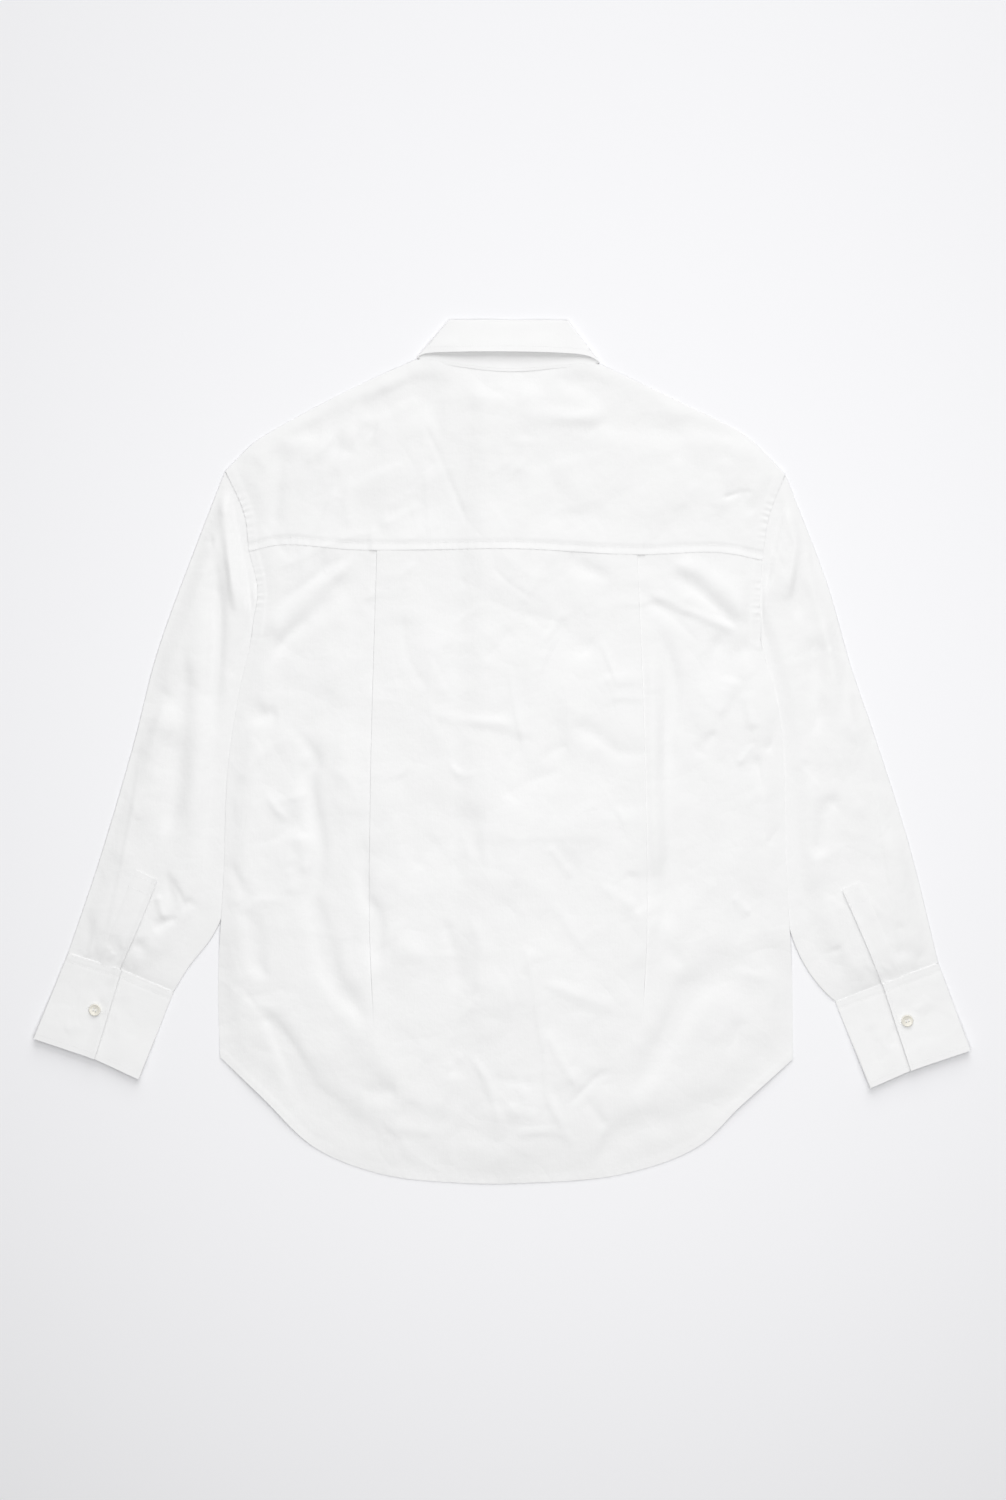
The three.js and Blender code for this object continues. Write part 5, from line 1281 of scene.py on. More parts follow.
@dataclass
class Collar:
    """The collar stand and the collar with its two leaves."""

    back_steps: int = 73
    held: dict = field(default_factory=dict)

    def stations(self, first: int) -> dict[str, np.ndarray]:
        """Stations round the neck, from the left front end over the back to the right front end.

        Args:
            first: first row of the collar's table that counts.

        Returns:
            Arrays by name: turn, neck, leaf, angle, side, share and out.
        """
        parts = {key: [] for key in ("turn", "neck", "leaf", "angle", "side", "share", "out")}

        def add(turn: np.ndarray, neck: np.ndarray, leaf: np.ndarray, angle: float, side: float,
                share: float, out: np.ndarray) -> None:
            """Adds one station."""
            for key, value in zip(parts, (turn, neck, leaf, angle, side, share, out)):
                parts[key].append(value)

        def front(side: str, reverse: bool) -> None:
            """Adds the stations of one half of the front, towards its end if reverse."""
            rows = np.array(COLLAR[side][first:], float)
            at = np.linspace(0, len(rows) - 1, 5 * (len(rows) - 1) + 1)
            fine = np.stack([np.interp(at, np.arange(len(rows)), rows[:, k]) for k in range(6)], axis=1)
            turn = fine[-1, 0:2] - fine[-1, 2:4]
            out = np.array([-turn[1], turn[0]]) * -OUT[side] / np.linalg.norm(turn)
            made = [(row, -90) for row in fine] + [(fine[-1], angle) for angle in (-65, -35, 0, 35, 65)]
            for row, angle in made[::-1] if reverse else made:
                add(row[0:2], row[2:4], row[4:6], angle, OUT[side], 0, out)

        front("left", False)
        ends = [np.array(COLLAR[side][-1], float) for side in SIDES]
        for share in np.linspace(0, 1, self.back_steps):
            neck = E.neck.at(share)
            x = mix(ends[0][2], ends[1][2], share)
            leaf = np.array([x, float(E.leaf_edge.y_at(x))])
            add(mix(ends[0][0:2], ends[1][0:2], share), neck, leaf, 90, 0.0, share, np.zeros(2))
        front("right", True)
        return {key: np.array(value, float) for key, value in parts.items()}

    def stand_back_z(self, x: Values, y: Values) -> Values:
        """Middle of the collar stand at the back."""
        return lower_z(x, y) + S.collar_layer + 0.1

    def stand_grid(self) -> np.ndarray:
        """Middle points of the collar stand."""
        st = self.stations(0)
        rise = st["turn"] - st["neck"]
        rise /= np.linalg.norm(rise, axis=1, keepdims=True)
        bulge = 0.75 * np.cos(np.radians(st["angle"]))[:, None] * st["out"]
        at_back = (st["angle"] > 80).astype(float) * np.sin(np.pi * np.clip(st["share"], 0, 1)) ** 0.5
        rows = []
        for t in np.linspace(0, 1, 25):
            low = st["neck"] + rise * (0.45 - 2.2 * at_back[:, None]) + bulge
            flat = mix(low, st["turn"] + bulge, t)
            x, y = flat[:, 0], flat[:, 1]
            left = (st["side"] < 0).astype(float)
            z = self.neck_z(st, x, y, lambda a, b: lower_z(a, b) + left * underlap(a, b), self.stand_back_z)
            over_yoke = upper_z(low[:, 0], low[:, 1]) + 0.45 - z
            lip = at_back * np.maximum(over_yoke, 0.3) * (1 - smooth(t, 0.03, 0.24))
            z = z + lip + at_back * 0.25 * NOISE(x, y, 13)
            rows.append(np.column_stack([flat, z]))
        return np.array(rows)

    def fall_grid(self) -> np.ndarray:
        """Middle points of the collar: from inside its fold, over it and down to its edge."""
        st = self.stations(1)
        rise = st["turn"] - st["neck"]
        rise /= np.linalg.norm(rise, axis=1, keepdims=True)
        cosine = np.cos(np.radians(st["angle"]))[:, None]
        on_turn = (np.abs(st["angle"]) < 80).astype(float)[:, None]
        start = st["turn"] + rise * 0.9
        beside = self.neck_z(st, start[:, 0], start[:, 1], lower_z, self.stand_back_z)
        over_z = self.stand_back_z(start[:, 0], start[:, 1]) + S.collar_layer
        spring = np.where(st["angle"] > 80, 5.2 * np.sin(np.pi * np.clip(st["share"], 0, 1)) ** 0.6, 0)
        share = 0.5 + np.sin(np.radians(st["angle"])) / 2
        half = on_turn * ((over_z - S.lowest) / 2)[:, None]
        out = st["out"]
        rows = [np.column_stack([start + 0.75 * on_turn * cosine * out, beside])]
        low0 = np.full(over_z.shape, S.lowest + 0.15)
        for angle in np.radians([-60, -25, 15, 50]):
            top = mix(low0, over_z, share)
            z = (beside + top) / 2 + (top - beside) / 2 * math.sin(angle)
            flat = start + rise * 1.3 * math.cos(angle) + (0.75 * on_turn + half) / 2 * cosine * out
            rows.append(np.column_stack([flat, z]))
        for t in np.linspace(0, 1, 29):
            flat = mix(start, st["leaf"], t) + half * cosine * out
            z = mix(low0, over_z + spring * t**0.8, share)
            x, y = flat[:, 0], flat[:, 1]
            at_back = (st["angle"] > 80).astype(float)
            z = z + at_back * (crease_height(COLLAR_CREASES, x, y) + 0.25 * NOISE2(x, y, 19) * t)
            rows.append(np.column_stack([flat, z]))
        return np.array(rows)

    def neck_z(self, st: dict[str, np.ndarray], x: Values, y: Values, front: Callable,
               back: Callable) -> Values:
        """Height of a collar layer: low in front, high at the back and between on the turn."""
        share = 0.5 + np.sin(np.radians(st["angle"])) / 2
        return mix(front(x, y), back(x, y), share)

    def build(self, doubled: Material) -> None:
        """Makes the stand and the collar."""
        self.held["stand"] = make_shell("collar_stand_cloth", self.stand_grid(), S.doubled, doubled)
        self.held["fall"] = make_shell("collar_fall_cloth", self.fall_grid(), S.doubled, doubled)


# ------------------------------------------------------------------ small hard parts
@dataclass
class Button:
    """A four-hole shirt button with a raised rim and a dished middle."""

    radius: float = S.button
    thick: float = S.button_thick
    rim: float = 0.9           # width of the rim
    dish: float = 0.65         # depth of the dish
    hole: float = 0.62         # radius of a hole
    pitch: float = 1.15        # from the middle to a hole along x and along y
    around: int = 56           # corners round the button
    hole_around: int = 14      # corners round a hole

    def profile(self) -> list[tuple[float, float]]:
        """Returns (radius, height) from the middle of the face over the rim to the back."""
        r, t = self.radius, self.thick
        return [(0, t - self.dish), (r - self.rim - 1.1, t - self.dish), (r - self.rim - 0.4, t - 0.22),
                (r - self.rim, t - 0.04), (r - 0.55, t), (r - 0.15, t - 0.22), (r, t - 0.7),
                (r - 0.1, t - 1.2), (r - 0.9, 0.15), (r - 1.6, 0.0), (0, 0)]

    def blank(self, material: Material) -> tuple[np.ndarray, list]:
        """Returns a solid blank with its four holes cut through, at the origin."""
        rows = self.profile()
        angle = np.linspace(0, 2 * np.pi, self.around, endpoint=False)
        verts, faces = [(0, 0, rows[0][1])], []
        for radius, height in rows[1:-1]:
            verts += [(radius * math.cos(a), radius * math.sin(a), height) for a in angle]
        verts.append((0, 0, 0))
        n = self.around
        for k in range(n):
            m = (k + 1) % n
            faces.append([0, 1 + k, 1 + m])
            for ring in range(len(rows) - 3):
                a = 1 + ring * n
                faces.append([a + k, a + n + k, a + n + m, a + m])
            a = 1 + (len(rows) - 3) * n
            faces.append([a + m, a + k, len(verts) - 1])
        body = make_piece("button_blank", np.array(verts, float), faces, material)
        drills, faces = [], []
        n = self.hole_around
        ring = np.linspace(0, 2 * np.pi, n, endpoint=False)
        for sx in (-1, 1):
            for sy in (-1, 1):
                at = np.array([[sx * self.pitch, sy * self.pitch]])
                circle = at + self.hole * np.stack([np.cos(ring), np.sin(ring)], axis=1)
                base = n * len(drills)
                for height in (-1.0, self.thick + 1):
                    drills.append(np.column_stack([circle, np.full(n, height)]))
                faces.append([base + k for k in range(n)][::-1])
                faces.append([base + n + k for k in range(n)])
                for k in range(n):
                    after = (k + 1) % n
                    faces.append([base + k, base + after, base + n + after, base + n + k])
        verts = np.vstack(drills)
        tool = make_piece("button_drills", verts, faces, material)
        cut = body.modifiers.new("holes", "BOOLEAN")
        cut.operation, cut.object, cut.solver = "DIFFERENCE", tool, "EXACT"
        mesh = bpy.data.meshes.new_from_object(body.evaluated_get(bpy.context.evaluated_depsgraph_get()))
        corners = np.array([v.co for v in mesh.vertices]) / MM
        polygons = [list(p.vertices) for p in mesh.polygons]
        for made in (body, tool):
            bpy.data.objects.remove(made)
        return corners, polygons

    def threads(self) -> tuple[np.ndarray, list]:
        """Returns the two bars of thread over the holes."""
        verts, faces = [], []
        for side in (-1, 1):
            run = np.linspace(-1, 1, 13)
            for strand in (-0.28, 0.0, 0.28):
                base = len(verts)
                for s in run:
                    lift = self.thick - self.dish + 0.55 * math.sqrt(max(1 - s**4, 0)) - 0.35
                    for a in np.linspace(0, 2 * np.pi, 6, endpoint=False):
                        verts.append((side * self.pitch + strand + 0.18 * math.cos(a),
                                      s * (self.pitch + 0.25), lift + 0.18 * math.sin(a)))
                for k in range(len(run) - 1):
                    for j in range(6):
                        a, b = base + 6 * k + j, base + 6 * k + (j + 1) % 6
                        faces.append([a, b, b + 6, a + 6])
                faces.append([base + j for j in range(6)][::-1])
                faces.append([base + 6 * (len(run) - 1) + j for j in range(6)])
        return np.array(verts), faces


def placed(verts: np.ndarray, at: Sequence[float], turn: float = 0.0, over: bool = False) -> np.ndarray:
    """Turns points about z, flips them face down if over, and moves them."""
    c, s = math.cos(turn), math.sin(turn)
    flip = -1.0 if over else 1.0
    out = np.column_stack([c * verts[:, 0] - s * verts[:, 1] * flip, s * verts[:, 0] + c * verts[:, 1] * flip,
                           verts[:, 2] * flip])
    return out + np.array(at)


@dataclass
class Buttons:
    """The cuffs' buttons and the fronts' seven, each with its thread."""

    form: Button = field(default_factory=Button)
    held: dict = field(default_factory=dict)

    def add(self, name: str, at: Sequence[float], turn: float, over: bool, shell: tuple[np.ndarray, list],
            material: Material, thread: Material) -> None:
        """Adds one button and its thread as one piece."""
        verts, faces = shell
        bars, bar_faces = self.form.threads()
        verts2 = np.vstack([placed(verts, at, turn, over), placed(bars, at, turn, over)])
        faces2 = faces + [[len(verts) + k for k in f] for f in bar_faces]
        piece = make_piece(name, verts2, faces2, material)
        piece.data.materials.append(thread)
        which = np.zeros(len(faces2), int)
        which[len(faces):] = 1
        piece.data.polygons.foreach_set("material_index", which)
        smooth_faces = np.array([len(p.vertices) < 12 for p in piece.data.polygons])
        piece.data.polygons.foreach_set("use_smooth", smooth_faces)
        piece.data.set_sharp_from_angle(angle=math.radians(50))
        self.held[name] = piece

    def build(self, sleeves: dict[str, Sleeve], material: Material, thread: Material) -> None:
        """Makes every button."""
        shell = self.form.blank(material)
        for side in SIDES:
            x, y = CUFF_BUTTON[side]
            z = float(np.max(drop([surface_of(sleeves[side].held["cuff"])], np.array([x - 4, x, x + 4]),
                                  np.array([y, y, y])))) - 0.1
            self.add(f"cuff_button_cap_{side}", (x, y, z), 0.35 * OUT[side], False, shell, material, thread)
        for number in range(1, FRONT_BUTTON_COUNT + 1):
            low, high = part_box(f"front_button_{number}")
            at = ((low[0] + high[0]) / 2 / MM, (low[1] + high[1]) / 2 / MM, S.button_thick + 0.05)
            self.add(f"front_button_cap_{number}", at, 0.2 * number, True, shell, material, thread)


# ------------------------------------------------------------------ stitching
def add_node(tree: bpy.types.NodeTree, kind: str, inputs: dict | None = None, **settings) -> bpy.types.Node:
    """Adds a node to a tree.

    Args:
        tree: shader or geometry tree.
        kind: the node's type.
        inputs: a value, or another node's socket, for each input by name or number.
        settings: the node's own settings.

    Returns:
        The node.
    """
    node = tree.nodes.new(kind)
    for key, value in settings.items():
        setattr(node, key, value)
    for key, value in (inputs or {}).items():
        if isinstance(value, bpy.types.NodeSocket):
            tree.links.new(value, node.inputs[key])
        else:
            node.inputs[key].default_value = value
    return node


class StitchTree:
    """Geometry Nodes tree that sets one short thread after another along lines."""

    def __init__(self, material: Material) -> None:
        """Builds the tree, which gives its threads a material."""
        tree = bpy.data.node_groups.new("stitches along lines", "GeometryNodeTree")
        face = tree.interface
        face.new_socket("Geometry", in_out="INPUT", socket_type="NodeSocketGeometry")
        for name, kind, value in (("Pitch", "NodeSocketFloat", 0.0024), ("Length", "NodeSocketFloat", 0.0019),
                                  ("Thread", "NodeSocketFloat", 0.00034), ("Seed", "NodeSocketInt", 5)):
            face.new_socket(name, in_out="INPUT", socket_type=kind).default_value = value
        face.new_socket("Geometry", in_out="OUTPUT", socket_type="NodeSocketGeometry")
        source = add_node(tree, "NodeGroupInput").outputs
        curve = add_node(tree, "GeometryNodeMeshToCurve", {"Mesh": source["Geometry"]})
        points = add_node(tree, "GeometryNodeCurveToPoints",
                          {"Curve": curve.outputs[0], "Length": source["Pitch"]}, mode="LENGTH")
        ball = add_node(tree, "GeometryNodeMeshUVSphere", {"Segments": 6, "Rings": 4, "Radius": 0.5})
        round_ball = add_node(tree, "GeometryNodeSetShadeSmooth", {0: ball.outputs[0]})
        vary = add_node(tree, "FunctionNodeRandomValue", {"Seed": source["Seed"]}, data_type="FLOAT")
        vary.inputs[2].default_value, vary.inputs[3].default_value = 0.86, 1.08
        length = add_node(tree, "ShaderNodeMath", {0: source["Length"], 1: vary.outputs[1]},
                          operation="MULTIPLY")
        size = add_node(tree, "ShaderNodeCombineXYZ", {"X": source["Thread"], "Y": source["Thread"],
                                                        "Z": length.outputs[0]})
        threads = add_node(tree, "GeometryNodeInstanceOnPoints",
                           {"Points": points.outputs["Points"], "Instance": round_ball.outputs[0],
                            "Rotation": points.outputs["Rotation"], "Scale": size.outputs[0]})
        real = add_node(tree, "GeometryNodeRealizeInstances", {0: threads.outputs[0]})
        done = add_node(tree, "GeometryNodeSetMaterial", {"Geometry": real.outputs[0], "Material": material})
        add_node(tree, "NodeGroupOutput", {0: done.outputs[0]})
        self.tree = tree
        self.socket = {item.name: item.identifier for item in face.items_tree if item.in_out == "INPUT"}

    def run(self, name: str, lines: Sequence[np.ndarray], pitch: float, length: float,
            thread: float) -> Piece:
        """Sews along lines.

        Args:
            name: the new piece's name.
            lines: arrays of points in millimetres.
            pitch: from one stitch to the next.
            length: length of a stitch.
            thread: its thickness.

        Returns:
            The piece, as a plain mesh.
        """
        verts, edges = [], []
        for line in lines:
            base = len(verts)
            verts += (np.asarray(line) * MM).tolist()
            edges += [(base + k, base + k + 1) for k in range(len(line) - 1)]
        mesh = bpy.data.meshes.new(name + "_lines")
        mesh.from_pydata(verts, edges, [])
        guide = bpy.data.objects.new(name + "_lines", mesh)
        bpy.context.scene.collection.objects.link(guide)
        sewing = guide.modifiers.new("sewing", "NODES")
        sewing.node_group = self.tree
        values = {"Pitch": pitch * MM, "Length": length * MM, "Thread": thread * MM, "Seed": 5}
        for key, value in values.items():
            sewing[self.socket[key]] = value
        depsgraph = bpy.context.evaluated_depsgraph_get()
        made = bpy.data.meshes.new_from_object(guide.evaluated_get(depsgraph))
        piece = bpy.data.objects.new(name, made)
        bpy.context.scene.collection.objects.link(piece)
        bpy.data.objects.remove(guide)
        log.info("%s: %d lines, %d faces", name, len(lines), len(made.polygons))
        return piece


def offset(points: np.ndarray, by: float) -> np.ndarray:
    """Moves a line to its left by a distance."""
    along = np.gradient(points, axis=0)
    normal = np.stack([-along[:, 1], along[:, 0]], axis=1)
    return points + by * normal / np.linalg.norm(normal, axis=1, keepdims=True)


def part(points: np.ndarray, low: float, high: float) -> np.ndarray:
    """The part of a line between two shares of its length."""
    fine = resample(points, 400)
    return fine[int(low * 400):int(high * 400) + 1]


ARM_STITCH = 7.6           # from the armhole to the row beside it
FRONT_HEM_STITCH = 19.0    # from the back hem up to the fronts' row


@dataclass
class Sewing:
    """Every visible row of stitches, on the pieces that it holds."""

    pitch: float = S.stitch
    length: float = 1.9
    edge_row: float = 1.5      # mm from a seam or fold to the row beside it, like all below
    cuff_seam_rows: tuple[float, float] = (1.5, 7.7)   # on a cuff, from its seam
    free_row: float = 5.5      # on a cuff, from its free edge
    slit_row: float = 3.2      # on a cuff, from its slit
    yoke_row: float = 6.7      # on the yoke, from its seam
    hem_row: float = 5.3       # on the back, from its hem
    hem_thread: float = 0.2    # thickness of the hem's thread
    leaf_row: float = 5.5      # on the collar, from its edge
    neck_row: float = 1.2      # on the stand, from the neck seam
    front_row: float = 5.0     # on the front band, from each of its edges
    held: dict = field(default_factory=dict)

    def on(self, pieces: Sequence[Piece], line: np.ndarray, below: bool = False,
           lift: float = 0.02) -> np.ndarray:
        """Lays a line on pieces, seen from above or from below."""
        line = resample(np.asarray(line, float), max(int(Line(line).length / 1.5), 2))
        trees = [surface_of(p) for p in pieces]
        if not below:
            return np.column_stack([line, drop(trees, line[:, 0], line[:, 1]) + lift])
        lows = []
        for x, y in line:
            hits = [t.ray_cast(Vector((x * MM, y * MM, -0.05)), Vector((0, 0, 1)))[0] for t in trees]
            lows.append(min([h.z / MM for h in hits if h is not None], default=0.5))
        return np.column_stack([line, np.maximum(np.array(lows) - lift, 0.15)])

    def cuff_rows(self, side: str, cuff: Piece) -> list[np.ndarray]:
        """Rows along a cuff's seam, its free edge and its slit."""
        seam, free = np.array(CUFF_SEAM[side]), np.array(CUFF_FREE[side])
        down = (free - seam) / np.linalg.norm(free - seam, axis=1, keepdims=True)
        rows = []
        for off in self.cuff_seam_rows:
            line = resample(seam + down * off, 60)
            rows.append(self.on([cuff], part(line, 0.03, 0.97)))
        rows.append(self.on([cuff], part(resample(free - down * self.free_row, 60), 0.03, 0.97)))
        to_outer = (seam[0] - seam[1]) / np.linalg.norm(seam[0] - seam[1])
        aside = to_outer * self.slit_row
        slit = mix(seam[1] + aside, free[1] + aside, np.linspace(0.04, 0.96, 30)[:, None])
        rows.append(self.on([cuff], slit))
        return rows

    def build(self, body: Body, yoke: Yoke, sleeves: dict[str, Sleeve], collar: Collar,
              thread: Material) -> None:
        """Sews all rows."""
        tree = StitchTree(thread)
        back, top = body.held["back"], yoke.held["yoke"]
        rows = [self.on([top], part(E.yoke.p + np.array([0, self.yoke_row]), 0.012, 0.988))]
        for side in SIDES:
            arm = offset(E.arm[side].p, ARM_STITCH * OUT[side])
            rows.append(self.on([back, top], part(arm, 0.02, 0.97)))
            sleeve = sleeves[side].held
            rows += self.cuff_rows(side, sleeve["cuff"])
            free, inner = curve_points(PLACKET_FREE[side], 40), curve_points(PLACKET_INNER[side], 40)
            across = (inner - free) / np.linalg.norm(inner - free, axis=1, keepdims=True)
            for line in (free + across * self.edge_row, inner - across * self.edge_row):
                rows.append(self.on([sleeve["placket"]], part(line, 0.03, 0.985)))
            for at in (0.97, 0.83):
                k = int(at * 40)
                start, end = free[k] + across[k] * self.edge_row, inner[k] - across[k] * self.edge_row
                rows.append(self.on([sleeve["placket"]], mix(start, end, np.linspace(0, 1, 20)[:, None])))
        hem_row = self.on([back], part(E.hem.p + np.array([0, self.hem_row]), 0.01, 0.99), lift=-0.03)
        leaf = part(E.leaf_edge.p + np.array([0, self.leaf_row]), 0.06, 0.94)
        rows.append(self.on([collar.held["fall"]], leaf))
        neck = part(E.neck.p + np.array([0, self.neck_row]), 0.06, 0.94)
        rows.append(self.on([collar.held["stand"]], neck))
        self.held["rows"] = tree.run("seam_stitches", rows, self.pitch, self.length, S.thread)
        self.held["hem"] = tree.run("hem_stitches", [hem_row], self.pitch, self.length, self.hem_thread)
        hidden = []
        band = body.held["band"]
        for off in (-S.band / 2 + self.front_row, S.band / 2 - self.front_row):
            x = S.centre + off
            hidden.append(self.on([band], np.array([[x, 300.0], [x, -400.0]]), below=True))
        for side, low, high in (("left", 0.04, 0.44), ("right", 0.56, 0.96)):
            hem = part(E.hem.p + np.array([0, FRONT_HEM_STITCH]), low, high)
            hidden.append(self.on([body.held[side]], hem, below=True))
        self.held["hidden"] = tree.run("front_stitches", hidden, self.pitch, self.length, S.thread)
        self.held["holes"] = tree.run("buttonhole_stitches", self.buttonholes(sleeves), 0.5, 1.5, 0.45)

    def buttonholes(self, sleeves: dict[str, Sleeve]) -> list[np.ndarray]:
        """Outlines of the cuffs' buttonholes, which run from under each button along the cuff."""
        loops = []
        for side in SIDES:
            seam = np.array(CUFF_SEAM[side])
            along = (seam[0] - seam[1]) / np.linalg.norm(seam[0] - seam[1])
            across = np.array([-along[1], along[0]])
            middle = np.array(CUFF_BUTTON[side])
            for edge in (-0.8, 0.8):
                run = middle + along * np.linspace(-7.6, 7.6, 12)[:, None] + across * edge
                loops.append(self.on([sleeves[side].held["cuff"]], run, lift=0.05))
        return loops


# ------------------------------------------------------------------ finishes
def colour(code: str) -> tuple[float, float, float, float]:
    """Turns an sRGB hex value to linear."""
    parts = [int(code[k:k + 2], 16) / 255 for k in (1, 3, 5)]
    return tuple(c / 12.92 if c <= 0.04045 else ((c + 0.055) / 1.055) ** 2.4 for c in parts) + (1.0,)


def blank_material(name: str) -> tuple[Material, bpy.types.NodeTree, bpy.types.Node]:
    """Returns a new material, its tree and its shader."""
    material = bpy.data.materials.new(name)
    material.use_nodes = True
    return material, material.node_tree, material.node_tree.nodes["Principled BSDF"]


@dataclass(frozen=True)
class Poplin:
    """Cotton poplin, plain woven and washed: matt, with a faint sheen where threads catch light."""

    name: str
    code: str = "#eeeeee"
    rough: float = 0.92
    sheen: float = 0.06
    spacing: float = 0.6       # mm. The real threads are 0.2 apart, too fine to show.
    weave: float = 0.020       # mm, depth of the weave
    wrinkle: float = 0.22      # mm, depth of the finest wrinkles
    crumple: float = 1.0       # share of the fine sharp creases that washing leaves

    # Fine creases: distance between them (mm), stretch, turn (degrees), depth (mm).
    CREASED = ((64, 2.6, 24, 2.3), (46, 2.2, -38, 1.7), (30, 1.8, 75, 0.9))

    def material(self) -> Material:
        """Returns the material."""
        material, tree, shader = blank_material(self.name)
        shader.inputs["Base Color"].default_value = colour(self.code)
        shader.inputs["Roughness"].default_value = self.rough
        shader.inputs["Sheen Weight"].default_value = self.sheen
        shader.inputs["Specular IOR Level"].default_value = 0.25
        place = add_node(tree, "ShaderNodeTexCoord").outputs["Object"]
        height = None
        for turn in (0.0, math.pi / 2):
            turned = add_node(tree, "ShaderNodeMapping", {"Vector": place, "Rotation": (0, 0, turn),
                                                          "Scale": (1000 / self.spacing, 40, 40)})
            threads = add_node(tree, "ShaderNodeTexNoise", {"Vector": turned.outputs[0], "Scale": 1.0,
                                                            "Detail": 0.0})
            if height is None:
                height = threads.outputs["Fac"]
            else:
                height = add_node(tree, "ShaderNodeMath", {0: height, 1: threads.outputs["Fac"]},
                                  operation="ADD").outputs[0]
        fine = add_node(tree, "ShaderNodeTexNoise", {"Vector": place, "Scale": 170.0, "Detail": 3.0,
                                                     "Roughness": 0.55})
        weave = add_node(tree, "ShaderNodeBump", {"Height": height, "Distance": self.weave * MM,
                                                  "Strength": 1.0})
        bump = add_node(tree, "ShaderNodeBump", {"Height": fine.outputs["Fac"], "Distance": self.wrinkle * MM,
                                                 "Strength": 1.0, "Normal": weave.outputs[0]})
        for wave, stretch, turn, deep in self.CREASED:
            turned = add_node(tree, "ShaderNodeVectorRotate", {"Vector": place, "Angle": math.radians(turn)},
                              rotation_type="Z_AXIS")
            scaled = add_node(tree, "ShaderNodeMapping", {"Vector": turned.outputs[0], "Scale": (
                1000 / wave, 1000 / (wave * stretch), 1000 / wave)})
            run = add_node(tree, "ShaderNodeTexNoise", {"Vector": scaled.outputs[0], "Scale": 1.0,
                                                        "Detail": 0.6, "Distortion": 0.25})
            off = add_node(tree, "ShaderNodeMath", {0: run.outputs["Fac"], 1: 0.5}, operation="SUBTRACT")
            ridge = add_node(tree, "ShaderNodeMath", {0: off.outputs[0]}, operation="ABSOLUTE")
            patch = add_node(tree, "ShaderNodeTexNoise", {"Vector": turned.outputs[0], "Scale": 700 / wave,
                                                          "Detail": 0.0})
            gate = add_node(tree, "ShaderNodeMapRange", {"Value": patch.outputs["Fac"], "From Min": 0.42,
                                                         "From Max": 0.62, "To Min": -1.0, "To Max": 1.0})
            height = add_node(tree, "ShaderNodeMath", {0: ridge.outputs[0], 1: gate.outputs[0]},
                              operation="MULTIPLY")
            bump = add_node(tree, "ShaderNodeBump", {"Height": height.outputs[0], "Strength": 1.0,
                                                     "Distance": self.crumple * deep * MM,
                                                     "Normal": bump.outputs[0]})
        tree.links.new(bump.outputs[0], shader.inputs["Normal"])
        return material


@dataclass(frozen=True)
class Thread:
    """Mercerised cotton sewing thread: a little brighter than the cloth, with a soft gloss."""

    name: str = "cotton sewing thread"
    code: str = "#efefef"

    def material(self) -> Material:
        """Returns the material."""
        material, _, shader = blank_material(self.name)
        shader.inputs["Base Color"].default_value = colour(self.code)
        shader.inputs["Roughness"].default_value = 0.6
        return material


@dataclass(frozen=True)
class ButtonShell:
    """Turned trocas shell, a little cream under the polish: glossy, with soft lighter clouds."""

    name: str = "polished shell button"
    code: str = "#dedacf"
    light: str = "#efece2"

    def material(self) -> Material:
        """Returns the material."""
        material, tree, shader = blank_material(self.name)
        place = add_node(tree, "ShaderNodeTexCoord").outputs["Object"]
        cloud = add_node(tree, "ShaderNodeTexNoise", {"Vector": place, "Scale": 260.0, "Detail": 2.0})
        tone = add_node(tree, "ShaderNodeMix", {0: cloud.outputs["Fac"], 6: colour(self.code),
                                                7: colour(self.light)}, data_type="RGBA")
        tree.links.new(tone.outputs[2], shader.inputs["Base Color"])
        shader.inputs["Roughness"].default_value = 0.22
        shader.inputs["IOR"].default_value = 1.53
        return material


@dataclass(frozen=True)
class PaperFloor:
    """Smooth seamless background paper, near white and matt."""

    name: str = "background paper"
    code: str = "#f2f2f4"

    def material(self) -> Material:
        """Returns the material."""
        material, _, shader = blank_material(self.name)
        shader.inputs["Base Color"].default_value = colour(self.code)
        shader.inputs["Roughness"].default_value = 0.9
        shader.inputs["Specular IOR Level"].default_value = 0.2
        return material


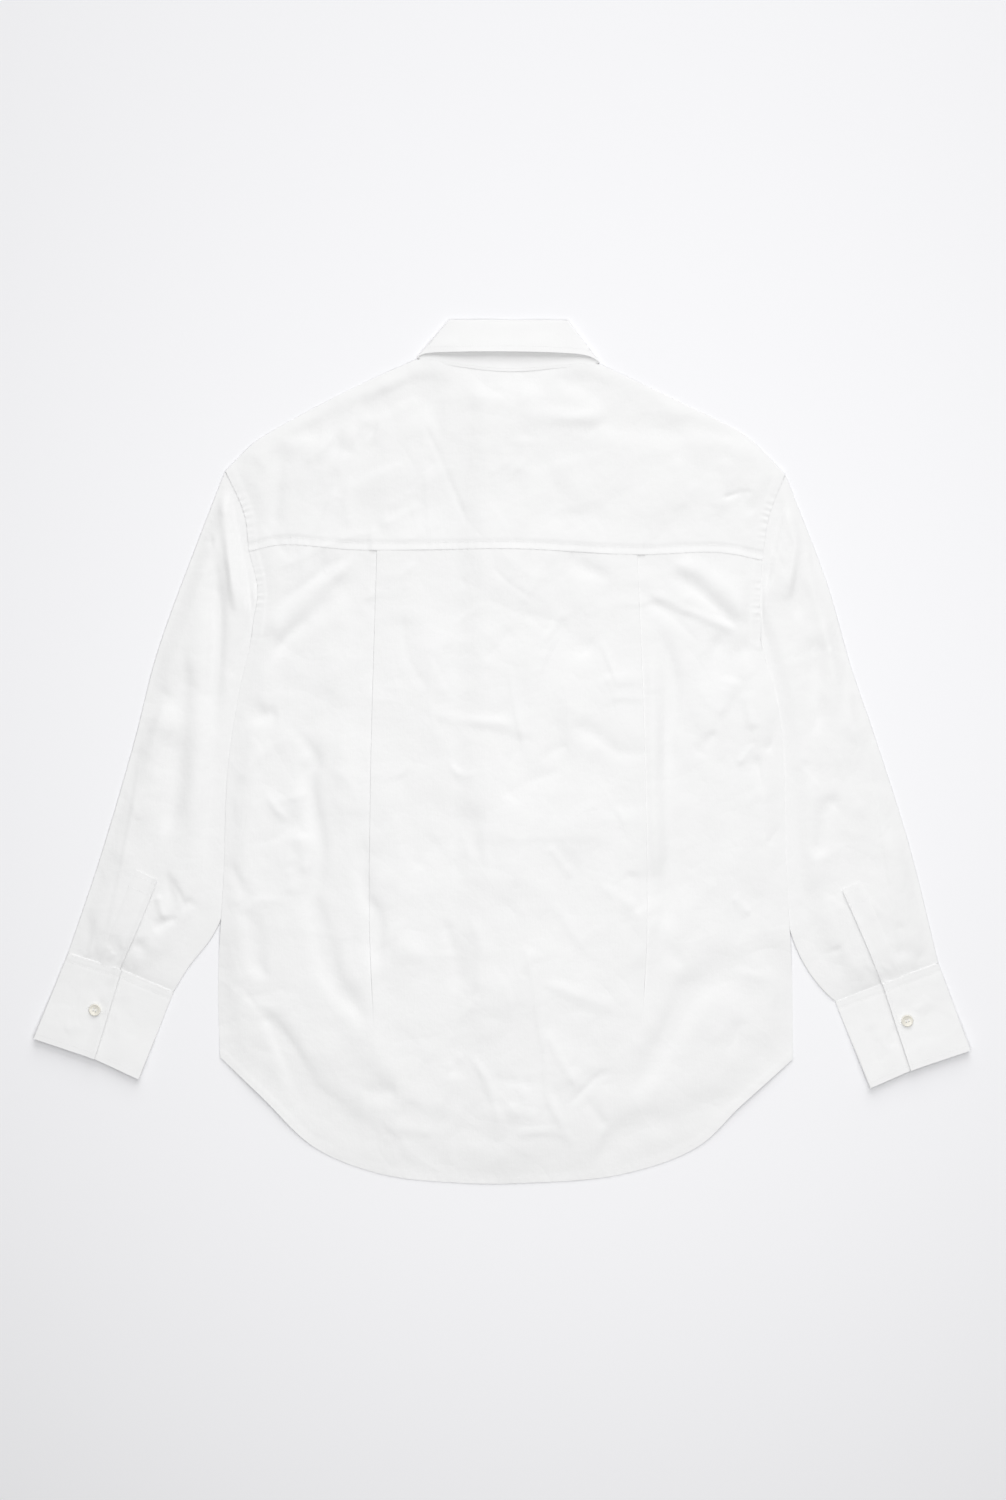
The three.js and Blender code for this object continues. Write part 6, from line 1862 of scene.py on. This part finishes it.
# ------------------------------------------------------------------ setting
@dataclass
class Studio:
    """The paper, the soft lights and the camera overhead."""

    floor: float = 6.0                 # side of the paper, in metres, as are all places and sizes here
    camera_height: float = 2.8
    lens: float = 70.0                 # mm
    aim: tuple[float, float] = (0.001, 0.0014)
    key_watts: float = 94.3
    key_at: tuple[float, float, float] = (0.39, 3.14, 2.09)
    key_size: float = 3.0
    top_watts: float = 14.5
    top_at: tuple[float, float, float] = (0.077, -0.19, 1.49)
    top_size: float = 1.29
    fill: float = 0.246

    def light(self, name: str, at: Sequence[float], size: float, watts: float, aim: Sequence[float]) -> None:
        """Adds one square soft light that looks at a point."""
        lamp = bpy.data.lights.new(name, "AREA")
        lamp.shape, lamp.size, lamp.energy = "SQUARE", size, watts
        holder = bpy.data.objects.new(name, lamp)
        holder.location = at
        holder.rotation_euler = (Vector(aim) - Vector(at)).to_track_quat("-Z", "Y").to_euler()
        holder.visible_camera = False
        bpy.context.scene.collection.objects.link(holder)

    def build(self, paper: Material) -> None:
        """Makes the paper, lights, world and camera."""
        half = self.floor / 2
        mesh = bpy.data.meshes.new("paper")
        corners = [(-half, -half, 0), (half, -half, 0), (half, half, 0), (-half, half, 0)]
        mesh.from_pydata(corners, [], [(0, 1, 2, 3)])
        mesh.materials.append(paper)
        floor = bpy.data.objects.new("paper", mesh)
        bpy.context.scene.collection.objects.link(floor)
        self.light("window", self.key_at, self.key_size, self.key_watts, (0, 0, 0))
        below = (self.top_at[0], self.top_at[1], 0)
        self.light("overhead", self.top_at, self.top_size, self.top_watts, below)
        world = bpy.data.worlds.new("studio")
        world.use_nodes = True
        world.node_tree.nodes["Background"].inputs["Color"].default_value = (1, 1, 1, 1)
        world.node_tree.nodes["Background"].inputs["Strength"].default_value = self.fill
        scene = bpy.context.scene
        scene.world = world
        scene.view_settings.view_transform = "Standard"
        lens = bpy.data.cameras.new("camera")
        lens.lens, lens.sensor_width, lens.sensor_fit = self.lens, 36.0, "AUTO"
        lens.clip_end = 20.0
        camera = bpy.data.objects.new("camera", lens)
        camera.location = (*self.aim, self.camera_height)
        scene.collection.objects.link(camera)
        scene.camera = camera


# ------------------------------------------------------------------ the cut of each sheet
@dataclass(frozen=True)
class Cut:
    """What a sheet was cut to, in metres, how it is held and what it lies on."""

    width: float
    length: float
    area: float
    held: str
    rests_on: tuple[str, ...]


def half_area(piece: Piece) -> float:
    """Half of a closed mesh's surface, in square metres."""
    return sum(p.area for p in piece.data.polygons) / 2


def declare(piece: Piece, nodes: Sequence[str], cut: Cut | None = None) -> None:
    """Ties a piece to the frame: what it stands for and its cut."""
    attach(piece, "root")
    if nodes:
        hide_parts(*nodes)
    if cut is not None:
        log.info("%s: cut %.3f x %.3f, area %.4f, cloth %.4f", piece.name, cut.width, cut.length, cut.area,
                 half_area(piece))


def main() -> None:
    """Builds the shirt and its setting."""
    poplin = Poplin("washed cotton poplin").material()
    doubled = Poplin("interlined cotton poplin", wrinkle=0.12, crumple=0.4).material()
    thread, shell = Thread().material(), ButtonShell().material()
    body, yoke, collar = Body(), Yoke(), Collar()
    sleeves = {side: Sleeve(side) for side in SIDES}
    body.build(poplin, doubled)
    yoke.build(poplin)
    for side in SIDES:
        sleeves[side].build(poplin, doubled)
    collar.build(doubled)
    buttons, sewing = Buttons(), Sewing()
    buttons.build(sleeves, shell, thread)
    sewing.build(body, yoke, sleeves, collar, thread)
    fronts = ("front_panel_left", "front_panel_right")
    declare(body.held["back"], ["back"], Cut(0.66, 0.625, 0.37, "laid", fronts))
    declare(yoke.held["yoke"], ["yoke"], Cut(0.56, 0.30, 0.125, "folded", ("back_panel",)))
    for side in SIDES:
        declare(body.held[side], [f"front_{side}"], Cut(0.31, 0.70, 0.16, "laid", ("paper",)))
    declare(body.held["band"], ["front_band"], Cut(0.032, 0.70, 0.0224, "folded", ("paper",)))
    for side in SIDES:
        made = sleeves[side].held
        declare(made["tube"], [f"sleeve_{side}"], Cut(0.33, 0.47, 0.098, "folded", ("paper",)))
        placket = Cut(0.028, 0.095, 0.00266, "laid", (f"sleeve_cloth_{side}",))
        declare(made["placket"], [f"placket_{side}"], placket)
        declare(made["cuff"], [f"cuff_{side}"], Cut(0.24, 0.085, 0.0204, "folded", ("paper",)))
    declare(collar.held["stand"], ["collar_stand"], Cut(0.46, 0.04, 0.0184, "folded", ("yoke_cloth",)))
    declare(collar.held["fall"], ["collar_fall"], Cut(0.40, 0.062, 0.0165, "folded", ("collar_stand_cloth",)))
    for name, piece in buttons.held.items():
        node = name.replace("_cap", "")
        declare(piece, [node])
    for piece in sewing.held.values():
        declare(piece, [])
    Studio().build(PaperFloor().material())


if __name__ == "__main__":
    main()
